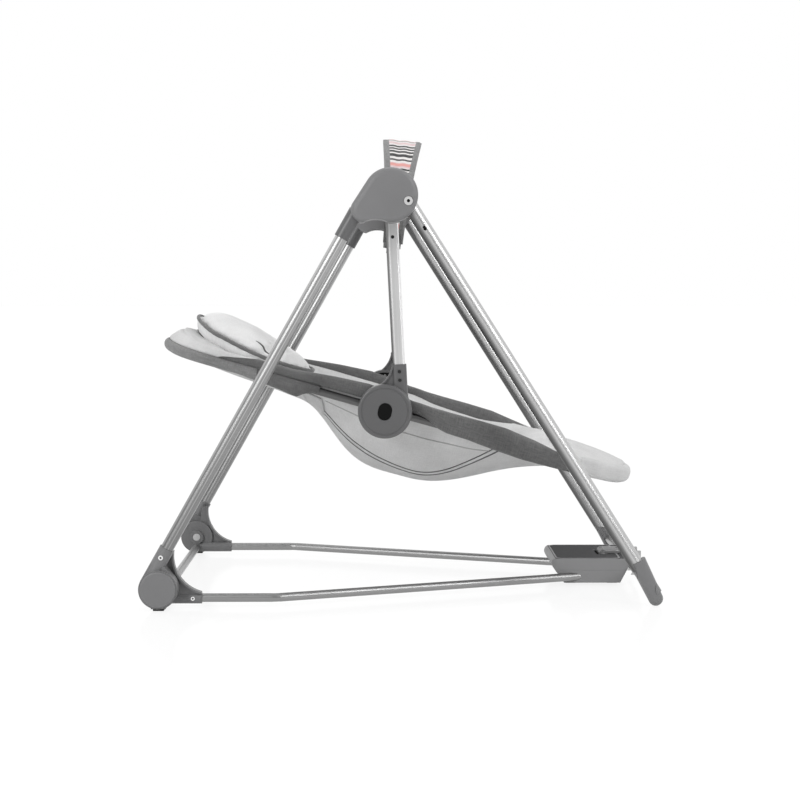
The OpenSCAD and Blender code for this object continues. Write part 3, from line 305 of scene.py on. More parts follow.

# Aluminium tubes
# Extruded and satin anodised, with fine die lines along each tube; bright and dark bands along each tube are painted
# highlights and painted shade in its colour, the front legs are painted lighter towards their top, and the seat
# ring's tube is painted dark for the shade of its cloth.


def drawn_tube(name, turn, axis=(0, 0, 0), half=0.012, painted_bands=None, rough=0.40, tint=0.55, capped=0, painted_fade=None):
    """Anodised aluminium. turn and axis lay z along the tube; painted_bands are (place across, brightness)
    rows from one edge to the other, painted highlights and painted shade multiplied into the colour; below
    the height capped it has its plastic cap's colour; painted_fade is the painted light at the tube's low and high
    end."""
    material, tree = new_material(name)
    where = add(tree, "TexCoord").outputs["Object"]
    lie = tree.nodes.new("ShaderNodeMapping")
    lie.vector_type = "TEXTURE"
    feed(tree, lie, {"Location": axis, "Rotation": turn, "Vector": where})
    fine = add(tree, "Mapping", {"Scale": (900, 900, 5), "Vector": lie.outputs[0]})
    lines = add(tree, "TexNoise", {"Scale": 1.0, "Detail": 2, "Vector": fine.outputs[0]}).outputs[0]
    cloud = add(tree, "TexNoise", {"Scale": 9, "Vector": where}).outputs[0]
    dark, light = [(tint * share, tint * share, tint * share, 1) for share in (0.93, 1.04)]
    paint = mixed(tree, uneven(tree, lines, 0, 1), dark, light)
    if painted_bands:
        parts = add(tree, "SeparateXYZ", {"Vector": lie.outputs[0]})
        # The ramp paints bright and dark bands across the tube: painted highlights and painted shade, not ridges.
        ridge = add(tree, "ValToRGB", {"Fac": ranged(tree, parts.outputs["X"], -half, half)})
        marks = ridge.color_ramp.elements
        for mark, (place, bright) in zip(marks, (painted_bands[0], painted_bands[-1])):
            mark.position, mark.color = place, (bright, bright, bright, 1)
        for place, bright in painted_bands[1:-1]:
            marks.new(place).color = (bright, bright, bright, 1)
        paint = mixed(tree, 1.0, paint, ridge.outputs["Color"], "MULTIPLY")
        if painted_fade:
            # Painted light: the tube's colour grows lighter towards its top and darker towards its low end.
            level = ranged(tree, parts.outputs["Z"], -0.28, 0.28, *painted_fade)
            paint = mixed(tree, 1.0, paint, grey_of(tree, level), "MULTIPLY")
    metal = 1.0
    if capped:
        height = add(tree, "SeparateXYZ", {"Vector": where}).outputs["Z"]
        metal = maths(tree, "GREATER_THAN", height, capped)
        paint = mixed(tree, metal, (0.175, 0.175, 0.178, 1), paint)
    gloss = uneven(tree, cloud, rough - 0.02, rough + 0.03)
    shade_with(tree, {"Metallic": metal, "Base Color": paint, "Roughness": gloss})
    return material


def middle_of(node):
    low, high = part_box(node)
    return (low + high) / 2


front_lean, rear_lean, arm_lean = math.radians(29.5), math.radians(-32.4), math.radians(-2.9)
quarter_turn = math.radians(90)
# Brightness rows across each tube: painted highlights and painted shade, multiplied into the tube's colour.
front_painted_bands = [
    (0.0, 0.24), (0.10, 0.36), (0.15, 0.62), (0.22, 0.64), (0.26, 0.36), (0.35, 0.34), (0.42, 0.54), (0.56, 0.44),
    (0.585, 0.70), (0.61, 0.70), (0.64, 0.42), (0.83, 0.50), (0.88, 0.80), (0.93, 0.80), (1.0, 0.42),
]
rear_painted_bands = [
    (0.0, 0.09), (0.14, 0.13), (0.27, 0.22), (0.40, 0.50), (0.48, 0.70), (0.56, 0.60), (0.66, 0.56), (1.0, 0.62),
]
arm_painted_bands = [
    (0.0, 0.12), (0.12, 0.18), (0.20, 0.34), (0.26, 0.60), (0.30, 0.90), (0.36, 0.74), (0.70, 0.84), (0.80, 1.0),
    (0.88, 1.0), (0.93, 0.66), (1.0, 0.60),
]
base_painted_bands = [(0.0, 0.44), (0.30, 0.46), (0.45, 0.48), (0.60, 0.42), (0.90, 0.38), (1.0, 0.34)]
for part, lean, half, painted_bands, looks in (
    ("front_leg", front_lean, 0.0125, front_painted_bands, {"tint": 0.80, "painted_fade": (0.66, 1.15)}),
    ("rear_leg", rear_lean, 0.0112, rear_painted_bands, {"tint": 0.92, "capped": 0.052}),
    ("arm_tube", arm_lean, 0.0120, arm_painted_bands, {"tint": 0.90}),
    ("base_tube", quarter_turn, 0.0070, base_painted_bands, {"tint": 0.72}),
):
    tube = drawn_tube(f"{part}_aluminium", (0, lean, 0), middle_of(f"{part}_right"), half, painted_bands, **looks)
    dress(tube, *pair(part))
dress(drawn_tube("cross_aluminium", (quarter_turn, 0, 0), tint=0.42), "rear_cross_tube", "front_cross_tube")
# The seat ring's tube is painted dark, tint 0.13: painted shade of the cloth around it.
dress(drawn_tube("ring_aluminium_painted_shade", (0, quarter_turn, 0), tint=0.13), "seat_tube_head", "seat_tube_foot")

# Steel fasteners
# Bolts, axles and the latch hooks are zinc plated; the arm screws are coloured near black, painted shade
# of their recesses, and black discs paint the shade inside the bolt sockets, a leg hole and the rivet bores.
steel = drawn_tube("plated_steel", (quarter_turn, 0, 0), rough=0.30, tint=0.55)
recess_shade_steel = drawn_tube("recess_shade_steel", (quarter_turn, 0, 0), rough=0.28, tint=0.05)
bright_steel = drawn_tube("bright_steel", (quarter_turn, 0, 0), rough=0.36, tint=0.95)
dress(steel, "hub_bolts", "latch_pin", "latch_hooks")
dress(bright_steel, "fold_bolts", "frame_rivets", "base_rivets")
dress(steel, *pair("swing_axle", "lock_disc"), "lock_springs")
# Near black screw heads: painted shade of the recesses they sit in.
dress(recess_shade_steel, "arm_rivets")


def painted_hole_shade(name, place, radius, body, sides=6):
    """A black, shallow dished disc on a face that looks along Y: painted shade for the dark inside a socket or hole.
    """
    bpy.ops.object.select_all(action="DESELECT")
    bpy.ops.mesh.primitive_cylinder_add(vertices=sides, radius=radius, depth=0.0008)
    socket = bpy.context.active_object
    socket.name = name
    bpy.ops.object.mode_set(mode="EDIT")
    bpy.ops.mesh.select_all(action="SELECT")
    bpy.ops.transform.rotate(value=math.radians(90), orient_axis="X", center_override=(0, 0, 0))
    bpy.ops.transform.translate(value=place)
    bpy.ops.mesh.bevel(offset=0.0002, segments=2)
    bpy.ops.object.mode_set(mode="OBJECT")
    bpy.ops.object.shade_smooth_by_angle(angle=math.radians(30))
    socket.data.materials.append(black_plastic)
    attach(socket, body)


# Black discs on the fold bolts, a rear leg hole and the rivets: painted shade inside their sockets and bores.
bolt_low, bolt_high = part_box("fold_bolts")
bolt_spot = middle_of("fold_bolts")
for side, face in (("right", bolt_low.y + 0.0006), ("left", bolt_high.y - 0.0006)):
    painted_hole_shade(f"bolt_socket_shade_{side}", (bolt_spot.x, face, bolt_spot.z), 0.0026, "frame")
leg_down = Vector((math.sin(-rear_lean), 0, -math.cos(rear_lean)))
hole_down = 0.047
spot = bolt_spot + leg_down * hole_down
leg_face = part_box("rear_leg_right")[0].y + 0.0002
for side, face in (("right", leg_face), ("left", -leg_face)):
    painted_hole_shade(f"leg_hole_shade_{side}", (spot.x, face, spot.z), 0.0026, "rear_legs", 20)
for body in ("frame", "base"):
    low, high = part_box(f"{body}_rivets")
    spot = middle_of(f"{body}_rivets")
    for side, face in (("right", low.y + 0.0006), ("left", high.y - 0.0006)):
        painted_hole_shade(f"{body}_rivet_bore_shade_{side}", (spot.x, face, spot.z), 0.0015, body, 14)

# Seat ring and its cloth
# The oval ring lies in a tilted plane; u runs to the foot end, y across, v up from the tube's axis.
# Its outline is two end bows, four corners and two long sides, as bent in the tube.
hub_centre = Vector((-0.026677, 0.0, 0.293147))
seat_tilt = math.radians(15.5)
seat_along = Vector((math.cos(seat_tilt), 0, -math.sin(seat_tilt)))
seat_up = Vector((math.sin(seat_tilt), 0, math.cos(seat_tilt)))
ring_length, end_bow, corner, ring_ahead = 0.770, 0.300, 0.075, 0.022
bow_turn, side_turn = math.radians(24), math.radians(10)
long_bow = (
    ring_length / 2 - end_bow * (1 - math.cos(bow_turn)) - corner * (math.cos(bow_turn) - math.sin(side_turn))
) / math.sin(side_turn)
bow_centre = ring_length / 2 - end_bow
corner_u = bow_centre + (end_bow - corner) * math.cos(bow_turn)
corner_y = (end_bow - corner) * math.sin(bow_turn)
side_y = corner_y - (long_bow - corner) * math.cos(side_turn)


def seat_point(u, y, v):
    return hub_centre + seat_along * u + Vector((0, y, 0)) + seat_up * v


def seat_coords(point):
    rel = point - hub_centre
    return rel.dot(seat_along), rel.y, rel.dot(seat_up)


def ring_point(turn):
    """A point (u, y) of the ring's axis by its turning angle, 0 at the foot end."""
    half = turn % math.pi
    q = min(half, math.pi - half)
    if q <= bow_turn:
        u, y = bow_centre + end_bow * math.cos(q), end_bow * math.sin(q)
    elif q <= math.pi / 2 - side_turn:
        u, y = corner_u + corner * math.cos(q), corner_y + corner * math.sin(q)
    else:
        u, y = long_bow * math.cos(q), side_y + long_bow * math.sin(q)
    head = math.pi / 2 < turn % (2 * math.pi) < 3 * math.pi / 2
    right = turn % (2 * math.pi) > math.pi
    return ring_ahead + (-u if head else u), -y if right else y


fine_turns = np.linspace(0, 2 * math.pi, 4001)
fine_ring = np.array([ring_point(t) for t in fine_turns])
fine_ring[-1] = fine_ring[0]
ring_run = np.concatenate([[0], np.cumsum(np.hypot(*np.diff(fine_ring, axis=0).T))])
ring_round = float(ring_run[-1])


def ring_at(run):
    """u, y and the outward direction of the ring at a distance along it from the foot end."""
    run = run % ring_round
    turn = float(np.interp(run, ring_run, fine_turns))
    u, y = ring_point(turn)
    return u, y, math.cos(turn), math.sin(turn)


half_turns = fine_ring[:2001]


def ring_width(u):
    """Half the distance between the ring's sides at a place along it."""
    return float(np.interp(u, half_turns[::-1, 0], half_turns[::-1, 1]))


def ease(t):
    t = min(1.0, max(0.0, t))
    return t * t * (3 - 2 * t)


def table(u, rows):
    """A smooth value between rows of (u, value), all in millimetres; returned in metres."""
    us, values = zip(*rows)
    return float(np.interp(u * 1000, us, values)) / 1000


def soft_piece(name, points, faces, cloth_uv, material):
    """A mesh piece with a UV map in metres of cloth, smooth shaded."""
    mesh = bpy.data.meshes.new(name)
    mesh.from_pydata([tuple(p) for p in points], [], faces)
    layer = mesh.uv_layers.new(name="cloth")
    corners = cloth_uv if callable(cloth_uv) else None
    loop = 0
    for face, poly in zip(faces, mesh.polygons):
        for k, vert in enumerate(face):
            layer.data[loop].uv = corners(poly.index, k, vert) if corners else cloth_uv[vert]
            loop += 1
    mesh.polygons.foreach_set("use_smooth", [True] * len(mesh.polygons))
    mesh.materials.append(material)
    piece = bpy.data.objects.new(name, mesh)
    bpy.context.scene.collection.objects.link(piece)
    return piece


def roll(name, loops, material, closed=False):
    """Sections joined end to end into a tube of cloth; closed joins the last to the first."""
    n, k = len(loops), len(loops[0])
    points = [p for section in loops for p in section]
    faces, index = [], []
    for i in range(n if closed else n - 1):
        for j in range(k):
            a, b = i * k + j, i * k + (j + 1) % k
            c, d = ((i + 1) % n) * k + j, ((i + 1) % n) * k + (j + 1) % k
            faces.append((a, b, d, c))
            index.append((i, j))
    if not closed:
        faces.append(tuple(range(k - 1, -1, -1)))
        faces.append(tuple(range((n - 1) * k, n * k)))
    along = [0.0]
    for i in range(n):
        along.append(along[-1] + (loops[(i + 1) % n][0] - loops[i][0]).length)
    around = [0.0]
    for j in range(k):
        around.append(around[-1] + (loops[0][(j + 1) % k] - loops[0][j]).length)

    def corner_uv(face, place, vert):
        if face >= len(index):
            return (0, 0)
        i, j = index[face]
        return (along[i + (1 if place in (2, 3) else 0)], around[j + (1 if place in (1, 2) else 0)])

    piece = soft_piece(name, points, faces, corner_uv, material)
    face_out(piece)
    return piece


def face_out(piece):
    """Turns a closed piece's faces outwards."""
    work = bmesh.new()
    work.from_mesh(piece.data)
    bmesh.ops.recalc_face_normals(work, faces=work.faces)
    work.to_mesh(piece.data)
    work.free()


def settle(piece, pressure, cap, frames=20, held=None, stiffness=15.0):
    """Blows the piece up as cloth for some frames, moves no point more than cap, and keeps the result."""
    scene = bpy.context.scene
    cloth = piece.modifiers.new("cloth", "CLOTH")
    settings = cloth.settings
    settings.quality = 5
    settings.mass = 0.3
    settings.use_pressure = True
    settings.uniform_pressure_force = pressure
    settings.tension_stiffness = stiffness
    settings.compression_stiffness = stiffness
    settings.shear_stiffness = stiffness / 3
    settings.bending_stiffness = 0.5
    settings.effector_weights.gravity = 0
    cloth.collision_settings.use_collision = False
    if held:
        group = piece.vertex_groups.new(name="held")
        for vert in piece.data.vertices:
            group.add([vert.index], held(vert.co), "REPLACE")
        settings.vertex_group_mass = "held"
    cloth.point_cache.frame_start, cloth.point_cache.frame_end = 1, frames
    for f in range(1, frames + 1):
        scene.frame_set(f)
    shaped = piece.evaluated_get(bpy.context.evaluated_depsgraph_get())
    moved = [vert.co.copy() for vert in shaped.data.vertices]
    piece.modifiers.remove(cloth)
    for vert, place in zip(piece.data.vertices, moved):
        step = place - vert.co
        if step.length > cap:
            step *= cap / step.length
        vert.co += step
    piece.data.update()
    scene.frame_set(1)


# Cloth
# The sides are a charcoal melange, the seat and ends a pale grey twill, and the pillow an off-white
# jersey; all are plain woven or knitted and matte.
weave_group, ends_in, ends_out = new_group(
    "cloth_weave", [("Threads", 1400.0), ("Fleck Size", 700.0)], ["Height", "Fleck", "Cloud"]
)
def cloth_map(tree):
    """The cloth's own coordinates, in metres."""
    node = tree.nodes.new("ShaderNodeUVMap")
    node.uv_map = "cloth"
    return node.outputs["UV"]


def stored(tree, name):
    """A value that the mesh stores at its points."""
    node = tree.nodes.new("ShaderNodeAttribute")
    node.attribute_name = name
    return node.outputs["Fac"]


flat = cloth_map(weave_group)
split = add(weave_group, "SeparateXYZ", {"Vector": flat})
turns = maths(weave_group, "MULTIPLY", ends_in.outputs["Threads"], 2 * math.pi)
warp, weft = [
    maths(weave_group, "SINE", maths(weave_group, "MULTIPLY", split.outputs[axis], turns)) for axis in ("X", "Y")
]
flecks = []
for stretch in ((1, 0.12, 1), (0.12, 1, 1)):
    mapping = add(weave_group, "Mapping", {"Scale": stretch, "Vector": flat})
    fleck = add(weave_group, "TexNoise", {
        "Detail": 2, "Scale": ends_in.outputs["Fleck Size"], "Vector": mapping.outputs[0],
    })
    flecks.append(fleck.outputs[0])
where = add(weave_group, "TexCoord").outputs["Object"]
feed(weave_group, ends_out, {
    "Height": maths(weave_group, "MULTIPLY", warp, weft),
    "Fleck": maths(weave_group, "MULTIPLY", maths(weave_group, "ADD", *flecks), 0.5),
    "Cloud": add(weave_group, "TexNoise", {"Scale": 22, "Detail": 3, "Vector": where}).outputs[0],
})


def cloth_colour(tree, weave, dark, light):
    """Melange: flecks between two tints, with a slow uneven shade."""
    fleck = mixed(tree, uneven(tree, weave.outputs["Fleck"], 0, 1), (*dark, 1), (*light, 1))
    slow = uneven(tree, weave.outputs["Cloud"], 0.93, 1.05)
    return mixed(tree, 1.0, fleck, grey_of(tree, slow), "MULTIPLY")


def fabric(name, dark, light, threads=1400, depth=0.00012, sheen=0.25, second=None):
    """A matte cloth; with second, a (dark, light) pair, the attribute 'panel' parts two cloths by a seam."""
    material, tree = new_material(name)
    weave = use_group(tree, weave_group, {"Threads": threads})
    colour = cloth_colour(tree, weave, dark, light)
    height = weave.outputs["Height"]
    if second:
        inside = stored(tree, "panel")
        other = cloth_colour(tree, weave, *second)
        colour = mixed(tree, ranged(tree, inside, -0.0004, 0.0004), colour, other)
        seam = ranged(tree, maths(tree, "ABSOLUTE", inside), 0.0003, 0.0018, 0.45, 1.0, "SMOOTHSTEP")
        colour = mixed(tree, 1.0, colour, grey_of(tree, seam), "MULTIPLY")
        height = maths(tree, "ADD", height, maths(tree, "MULTIPLY", seam, 6.0))
    bump = add(tree, "Bump", {"Distance": depth, "Height": height})
    shade_with(tree, {
        "Base Color": colour, "Roughness": 0.85, "Specular IOR Level": 0.25, "Sheen Weight": sheen,
        "Sheen Roughness": 0.5, "Normal": bump.outputs[0],
    })
    return material


def tint(grey, warm=0.0):
    return (grey * (1 + warm), grey, grey * (1 - warm))


charcoal = (tint(0.085), tint(0.16))
pale = (tint(0.60), tint(0.72))
mid_grey = (tint(0.15), tint(0.27))
rim_cloth = fabric("rim_cloth", *pale, second=charcoal)
# The sleeve's mid grey is partly its own cloth and partly painted light, lighter than the charcoal it meets.
sleeve_cloth = fabric("sleeve_cloth", *mid_grey, second=charcoal)
seat_cloth = fabric("seat_cloth", *pale)
pillow_cloth = fabric("pillow_cloth", tint(0.72), tint(0.84), threads=1100, depth=0.0001, sheen=0.35)
binding_cloth = fabric("binding_cloth", tint(0.06), tint(0.12), threads=900, depth=0.0002)
hem_cloth = fabric("hem_cloth", tint(0.36), tint(0.48))
# The webbing tab's pale grey is its own colour, made a little lighter than the seat cloth as painted light against
# the shade under the seat.
tab_cloth_painted_light = fabric("tab_cloth_painted_light", tint(0.62), tint(0.74), threads=700, depth=0.0003)


def store(piece, name, values):
    attribute = piece.data.attributes.new(name, "FLOAT", "POINT")
    attribute.data.foreach_set("value", values)


def mark_panel(piece, reach):
    """Stores how far each point lies inside the second cloth, in metres."""
    store(piece, "panel", [reach(*seat_coords(vert.co)) for vert in piece.data.vertices])


def ripple(point, size, seed=0.0):
    """Smooth noise from -1 to 1 at a size in metres."""
    return noise.noise(point / size + Vector((seed, 1.7 * seed, 0.3 * seed)))


# Ring sleeve
# A tube of melange cloth is pulled over the head bow and pleated at its two ends, where a flap
# of the side cloth wraps the tube and hangs a little below it.
sleeve_r, sleeve_creases, sleeve_sides = 0.0085, 9, 28
flap_hang = [(-230, 0), (-200, 3), (-165, 5), (-146, 8), (-136, 8), (-126, 1), (-114, -3), (-104, -6)]


def ring_stations(u_stop, count):
    """Runs along the ring through the head end, from the left side at u_stop to the right."""
    runs = np.linspace(0, ring_round, 4001)
    first = next(r for r in runs if ring_at(r)[0] < u_stop and r > 0)
    return np.linspace(first, ring_round - first, count)


sections = []
for run in ring_stations(-0.104, 190):
    u, y, out_u, out_y = ring_at(run)
    end = ease((u + 0.150) / 0.044)
    hang = table(u, flap_hang) if abs(y) > 0.12 else 0.0
    section = []
    for j in range(sleeve_sides):
        b = 2 * math.pi * j / sleeve_sides
        w, v = math.cos(b), math.sin(b)
        spread = sleeve_r + 0.0006 * ripple(Vector((run * 9, w * 1.2, v * 1.2)), 1.0)
        spread += end * 0.0006 * math.sin(sleeve_creases * b + 14 * ripple(Vector((run * 30, 0, 0)), 1.0))
        drop = hang * max(0.0, -v) ** 1.6 * (1 + 0.25 * ripple(Vector((run * 28, w, 0)), 1.0, 4.0))
        section.append(seat_point(u + out_u * w * spread, y + out_y * w * spread, v * spread - drop))
    sections.append(section)
ring_sleeve = roll("ring_sleeve", sections, sleeve_cloth)
# Charcoal towards the sleeve's two ends, mid grey over the head bow; the lighter grey over the head is partly painted
# light.
mark_panel(ring_sleeve, lambda u, y, v: (u + 0.203 + 0.2 * v) if abs(y) > 0.1 else -0.05)
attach(ring_sleeve, "seat")
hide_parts("tube_sleeves")

# Seat border
# An upright padded border is sewn round the seat; along the foot half it folds over the tube.
# Its sides are charcoal and its two ends pale, with a curved seam where they meet.
border_top = [
    (-380, 24), (-360, 26), (-340, 26), (-300, 22), (-246, 20), (-213, 22.5), (-150, 24), (-88, 29.5), (-34, 32.5),
    (10, 30), (38, 27), (70, 25.5), (96, 25), (143, 25), (188, 24), (232, 18), (274, 14), (330, 12), (385, 9),
    (421, 6),
]
border_low = [
    (-372, 7), (36, 7), (60, 3), (84, -7), (100, -11), (134, -13), (178, -17), (222, -20), (262, -20), (340, -19),
    (400, -18), (421, -17),
]
section_count, border_half, fold_half = 24, 0.0066, 0.0036


def head_lean(u, v):
    """How far the border leans in over the head end, so that its nose is rounded."""
    return 0.85 * ease((-0.250 - u) / 0.085) * max(0.0, v - 0.006)


def border_section(run):
    u, y, out_u, out_y = ring_at(run)
    top, low = table(u, border_top), table(u, border_low)
    cover = ease((u - 0.040) / 0.050)
    middle, tall = (top + low) / 2, (top - low) / 2
    section = []
    for j in range(section_count):
        b = 2 * math.pi * j / section_count
        c, s = math.cos(b), math.sin(b)
        v = middle + tall * math.copysign(abs(s) ** 0.8, s)
        width = border_half + cover * fold_half * (1 - ease((v - 0.004) / 0.020))
        w = width * math.copysign(abs(c) ** 0.75, c)
        w += 0.0007 * ripple(Vector((run * 14, b * 0.6, 0)), 1.0, 2.0) * (1 if c > 0 else 0.3)
        w -= head_lean(u, v)
        section.append(seat_point(u + out_u * w, y + out_y * w, v))
    return section


border_runs = np.linspace(0, ring_round, 361)[:-1]
border = roll("seat_border", [border_section(run) for run in border_runs], rim_cloth, closed=True)
settle(border, 3.0, 0.0025, 12)


def side_panel(u, y, v):
    """Inside the charcoal side: positive between the head seam and the foot seam."""
    top, low = table(u, border_top), table(u, border_low)
    t = min(1.0, max(0.0, (v - low) / max(0.004, top - low)))
    return 0.5 * min(u + 0.268 - 0.063 * t * t, 0.300 - 0.100 * t**6 - u)


mark_panel(border, side_panel)
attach(border, "seat")
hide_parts("seat_rim")

# Seat pocket
# The padded seat hangs as a deep pocket between the borders, of a convex middle strip and two
# lens-shaped side panels; the upper cloth swells into a low cushion at the head and foot ends.
cloth_thick, deepest_u = 0.007, 0.062


def pocket_drop(u):
    """Depth of the pocket's underside below the ring along its middle."""
    reach = 1 - min(1.0, abs(u - ring_ahead) / (ring_length / 2)) ** 4
    if u < deepest_u:
        bowl = math.exp(-(((deepest_u - u) / 0.144) ** 3.9))
    else:
        bowl = math.exp(-(((u - deepest_u) / 0.148) ** 2.27))
    return 0.026 * reach + 0.084 * bowl


def share_across(u, y):
    """0 at the seat's middle and 1 at its border."""
    return min(1.0, abs(y) / max(0.02, ring_width(u) - 0.006))


def pocket_under(u, y):
    return -0.004 - (pocket_drop(u) - 0.004) * (1 - share_across(u, y) ** 2.4)


liner_edge = [
    (-372, 23), (-340, 24), (-300, 20), (-147, 17), (-97, 17), (-13, 15), (47, 12), (115, 8), (170, 5), (230, 12),
    (274, 11), (330, 9), (421, 5),
]
foot_level = [(240, 20), (262, 20), (304, 16.5), (364, 15), (385, 13), (421, 8)]


def liner_over(u, y):
    """The upper cloth: follows the pocket, rises to the border and swells at both ends."""
    across = share_across(u, y)
    bowl = pocket_under(u, y) + cloth_thick
    head = math.exp(-((max(0.0, u + 0.335) / 0.055) ** 2)) * (1 - across**2)
    foot = ease((u - 0.205) / 0.050) * (1 - across**2.2)
    cushion = 0.018 + 0.012 * head if u < 0 else 0.007 + foot * (table(u, foot_level) - 0.007)
    share = ease((-0.215 - u) / 0.075) if u < 0 else ease((u - 0.180) / 0.085)
    level = bowl * (1 - share) + cushion * share
    wall = ease((across - 0.90) / 0.10)
    return level * (1 - wall) + table(u, liner_edge) * wall


def layered_disc(hoops, count):
    """Faces of two layers of hoops, each round a middle point, joined at their outer hoops."""
    faces, size = [], hoops * count + 1
    for first in (0, size):
        for start in range(first, first + (hoops - 1) * count, count):
            for k in range(count):
                a, b = start + k, start + (k + 1) % count
                faces.append((a, b, b + count, a + count))
        last = first + (hoops - 1) * count
        for k in range(count):
            faces.append((last + k, last + (k + 1) % count, first + size - 1))
    for k in range(count):
        a, b = k, (k + 1) % count
        faces.append((a, b, b + size, a + size))
    return faces


turn_count, hoop_count = 160, 44
points, cloth_uv = [], []
for layer in (pocket_under, liner_over):
    for ring_step in range(hoop_count):
        f = 1 - (ring_step / hoop_count) ** 1.15
        for k in range(turn_count):
            u, y, out_u, out_y = ring_at(ring_round * k / turn_count)
            inset = 0.002 if layer is pocket_under else 0.004 + head_lean(u, table(u, liner_edge))
            u, y = u - inset * out_u, y - inset * out_y
            u, y = deepest_u + f * (u - deepest_u), f * y
            v = layer(u, y)
            fold = 0.0012 * ripple(Vector((u * 9, y * 9, 0)), 1.0, 6.0) * (1 - f**6)
            points.append(seat_point(u, y, v + fold))
            cloth_uv.append((u, y))
    points.append(seat_point(deepest_u, 0, layer(deepest_u, 0)))
    cloth_uv.append((deepest_u, 0))
pocket = soft_piece("seat_cushion", points, layered_disc(hoop_count, turn_count), cloth_uv, seat_cloth)
face_out(pocket)
settle(
    pocket, 1.2, 0.004, 10,
    held=lambda p: 1.0 if abs(seat_coords(p)[1]) > ring_width(seat_coords(p)[0]) - 0.016 else 0.0,
)
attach(pocket, "seat")
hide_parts("seat_pocket")


def crumple(piece):
    """Gives the piece its own copy of its mesh."""
    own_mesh(piece)


crumple(pocket)

# Pocket seams
# Each side panel is joined to the middle strip by a flat piping between two rows of dark stitching;
# a fainter seam runs below the tube, and a short webbing tab covers the seams' head end.
seam_plan = [
    (-97, 121), (-70, 111), (-42, 107), (-17, 104), (17, 96), (46, 89), (75, 87), (101, 93), (126, 106), (148, 123),
    (165, 138), (181, 155), (194, 172),
]
hem_plan = [(-92, 166), (-40, 168), (0, 168), (44, 167), (73, 166), (110, 165), (150, 161), (178, 160)]


def surface_of(piece):
    work = bmesh.new()
    work.from_mesh(piece.data)
    tree = BVHTree.FromBMesh(work)
    work.free()
    return tree


def smooth_line(rows, count):
    """A smooth plan line of (u, y) in metres through rows in millimetres (Catmull-Rom)."""
    rows = [Vector((a / 1000, b / 1000)) for a, b in rows]
    rows = [2 * rows[0] - rows[1], *rows, 2 * rows[-1] - rows[-2]]
    line = []
    for i in range(count):
        t = i / (count - 1) * (len(rows) - 3)
        k = min(int(t), len(rows) - 4)
        f = t - k
        a, b, c, d = rows[k : k + 4]
        line.append(0.5 * (2 * b + (c - a) * f + (2 * a - 5 * b + 4 * c - d) * f**2 + (3 * b - a - 3 * c + d) * f**3))
    return line


def sewn_cord(name, places, wide, tall, material, sides=10):
    """A thin roll along rows of a point, its normal and, if it tapers, its share of the width; wide
    lies on the surface and tall stands from it."""
    loops = []
    for i, (place, normal, *full) in enumerate(places):
        before, after = places[max(0, i - 1)][0], places[min(len(places) - 1, i + 1)][0]
        side = (after - before).normalized().cross(normal).normalized()
        half = wide * full[0] if full else wide
        turns = [2 * math.pi * j / sides for j in range(sides)]
        loops.append([place + side * half * math.cos(b) + normal * tall * math.sin(b) for b in turns])
    return roll(name, loops, material)


def on_underside(tree, u, y, proud=0.0):
    """The pocket's underside below a plan point, with its outward normal."""
    hit, normal, _, _ = tree.ray_cast(seat_point(u, y, -0.4), seat_up)
    if hit is None:
        hit, normal = seat_point(u, y, pocket_under(u, y)), -seat_up
    return hit + normal * proud, normal


seam_steps, hem_steps = 110, 70
under = surface_of(pocket)
seam_pieces = []
for side, sign in (("right", -1), ("left", 1)):
    line = smooth_line(seam_plan, seam_steps)
    rows = []
    for i, spot in enumerate(line):
        ahead = (line[min(i + 1, seam_steps - 1)] - line[max(i - 1, 0)]).normalized()
        rows.append((spot, Vector((-ahead.y, ahead.x))))
    for kind, shift, wide, tall, proud, cloth in (
        ("piping", 0.0048, 0.0031, 0.0016, 0.0002, seat_cloth),
        ("stitch_low", 0.0004, 0.0019, 0.0013, 0.0003, binding_cloth),
        ("stitch_high", 0.0090, 0.0009, 0.0009, 0.0001, binding_cloth),
    ):
        places = [on_underside(under, s.x + shift * out.x, sign * (s.y + shift * out.y), proud) for s, out in rows]
        cord = sewn_cord(f"seam_{kind}_{side}", places, wide, tall, cloth)
        seam_pieces.append(cord)
    hem = [on_underside(under, s.x, sign * s.y) for s in smooth_line(hem_plan, hem_steps)]
    seam_pieces.append(sewn_cord(f"seam_hem_{side}", hem, 0.0012, 0.0008, hem_cloth))
for cord in seam_pieces:
    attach(cord, "seat")
    crumple(cord)

# Webbing tabs
# A short folded webbing is stitched over the place where each pair of seams meets the sleeve.
def layered_strip(rows, columns):
    """Faces of two layers of a grid, joined round its rim."""
    half = rows * columns
    faces = [
        (a, a + 1, a + columns + 1, a + columns)
        for first in (0, half)
        for i in range(rows - 1)
        for a in range(first + i * columns, first + (i + 1) * columns - 1)
    ]
    rim = [*range(columns), *range(2 * columns - 1, half, columns)]
    rim += [*range(half - 2, half - columns - 1, -1), *range(half - 2 * columns, 0, -columns)]
    return faces + [(a, b, b + half, a + half) for a, b in zip(rim, rim[1:] + rim[:1])]


tab_rows, tab_columns = 9, 7
for side, sign in (("right", -1), ("left", 1)):
    points, cloth_uv = [], []
    for layer in (0, 1):
        for i in range(tab_rows):
            for j in range(tab_columns):
                a, b = i / (tab_rows - 1), j / (tab_columns - 1)
                u = -0.131 + 0.034 * b + 0.010 * a
                y = sign * (0.173 - 0.052 * a - 0.004 * b)
                points.append(on_underside(under, u, y, 0.0012 + 0.0014 * layer)[0])
                cloth_uv.append((0.035 * b, 0.055 * a))
    tab = soft_piece(f"corner_tab_{side}", points, layered_strip(tab_rows, tab_columns), cloth_uv, tab_cloth_painted_light)
    face_out(tab)
    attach(tab, "seat")
    crumple(tab)

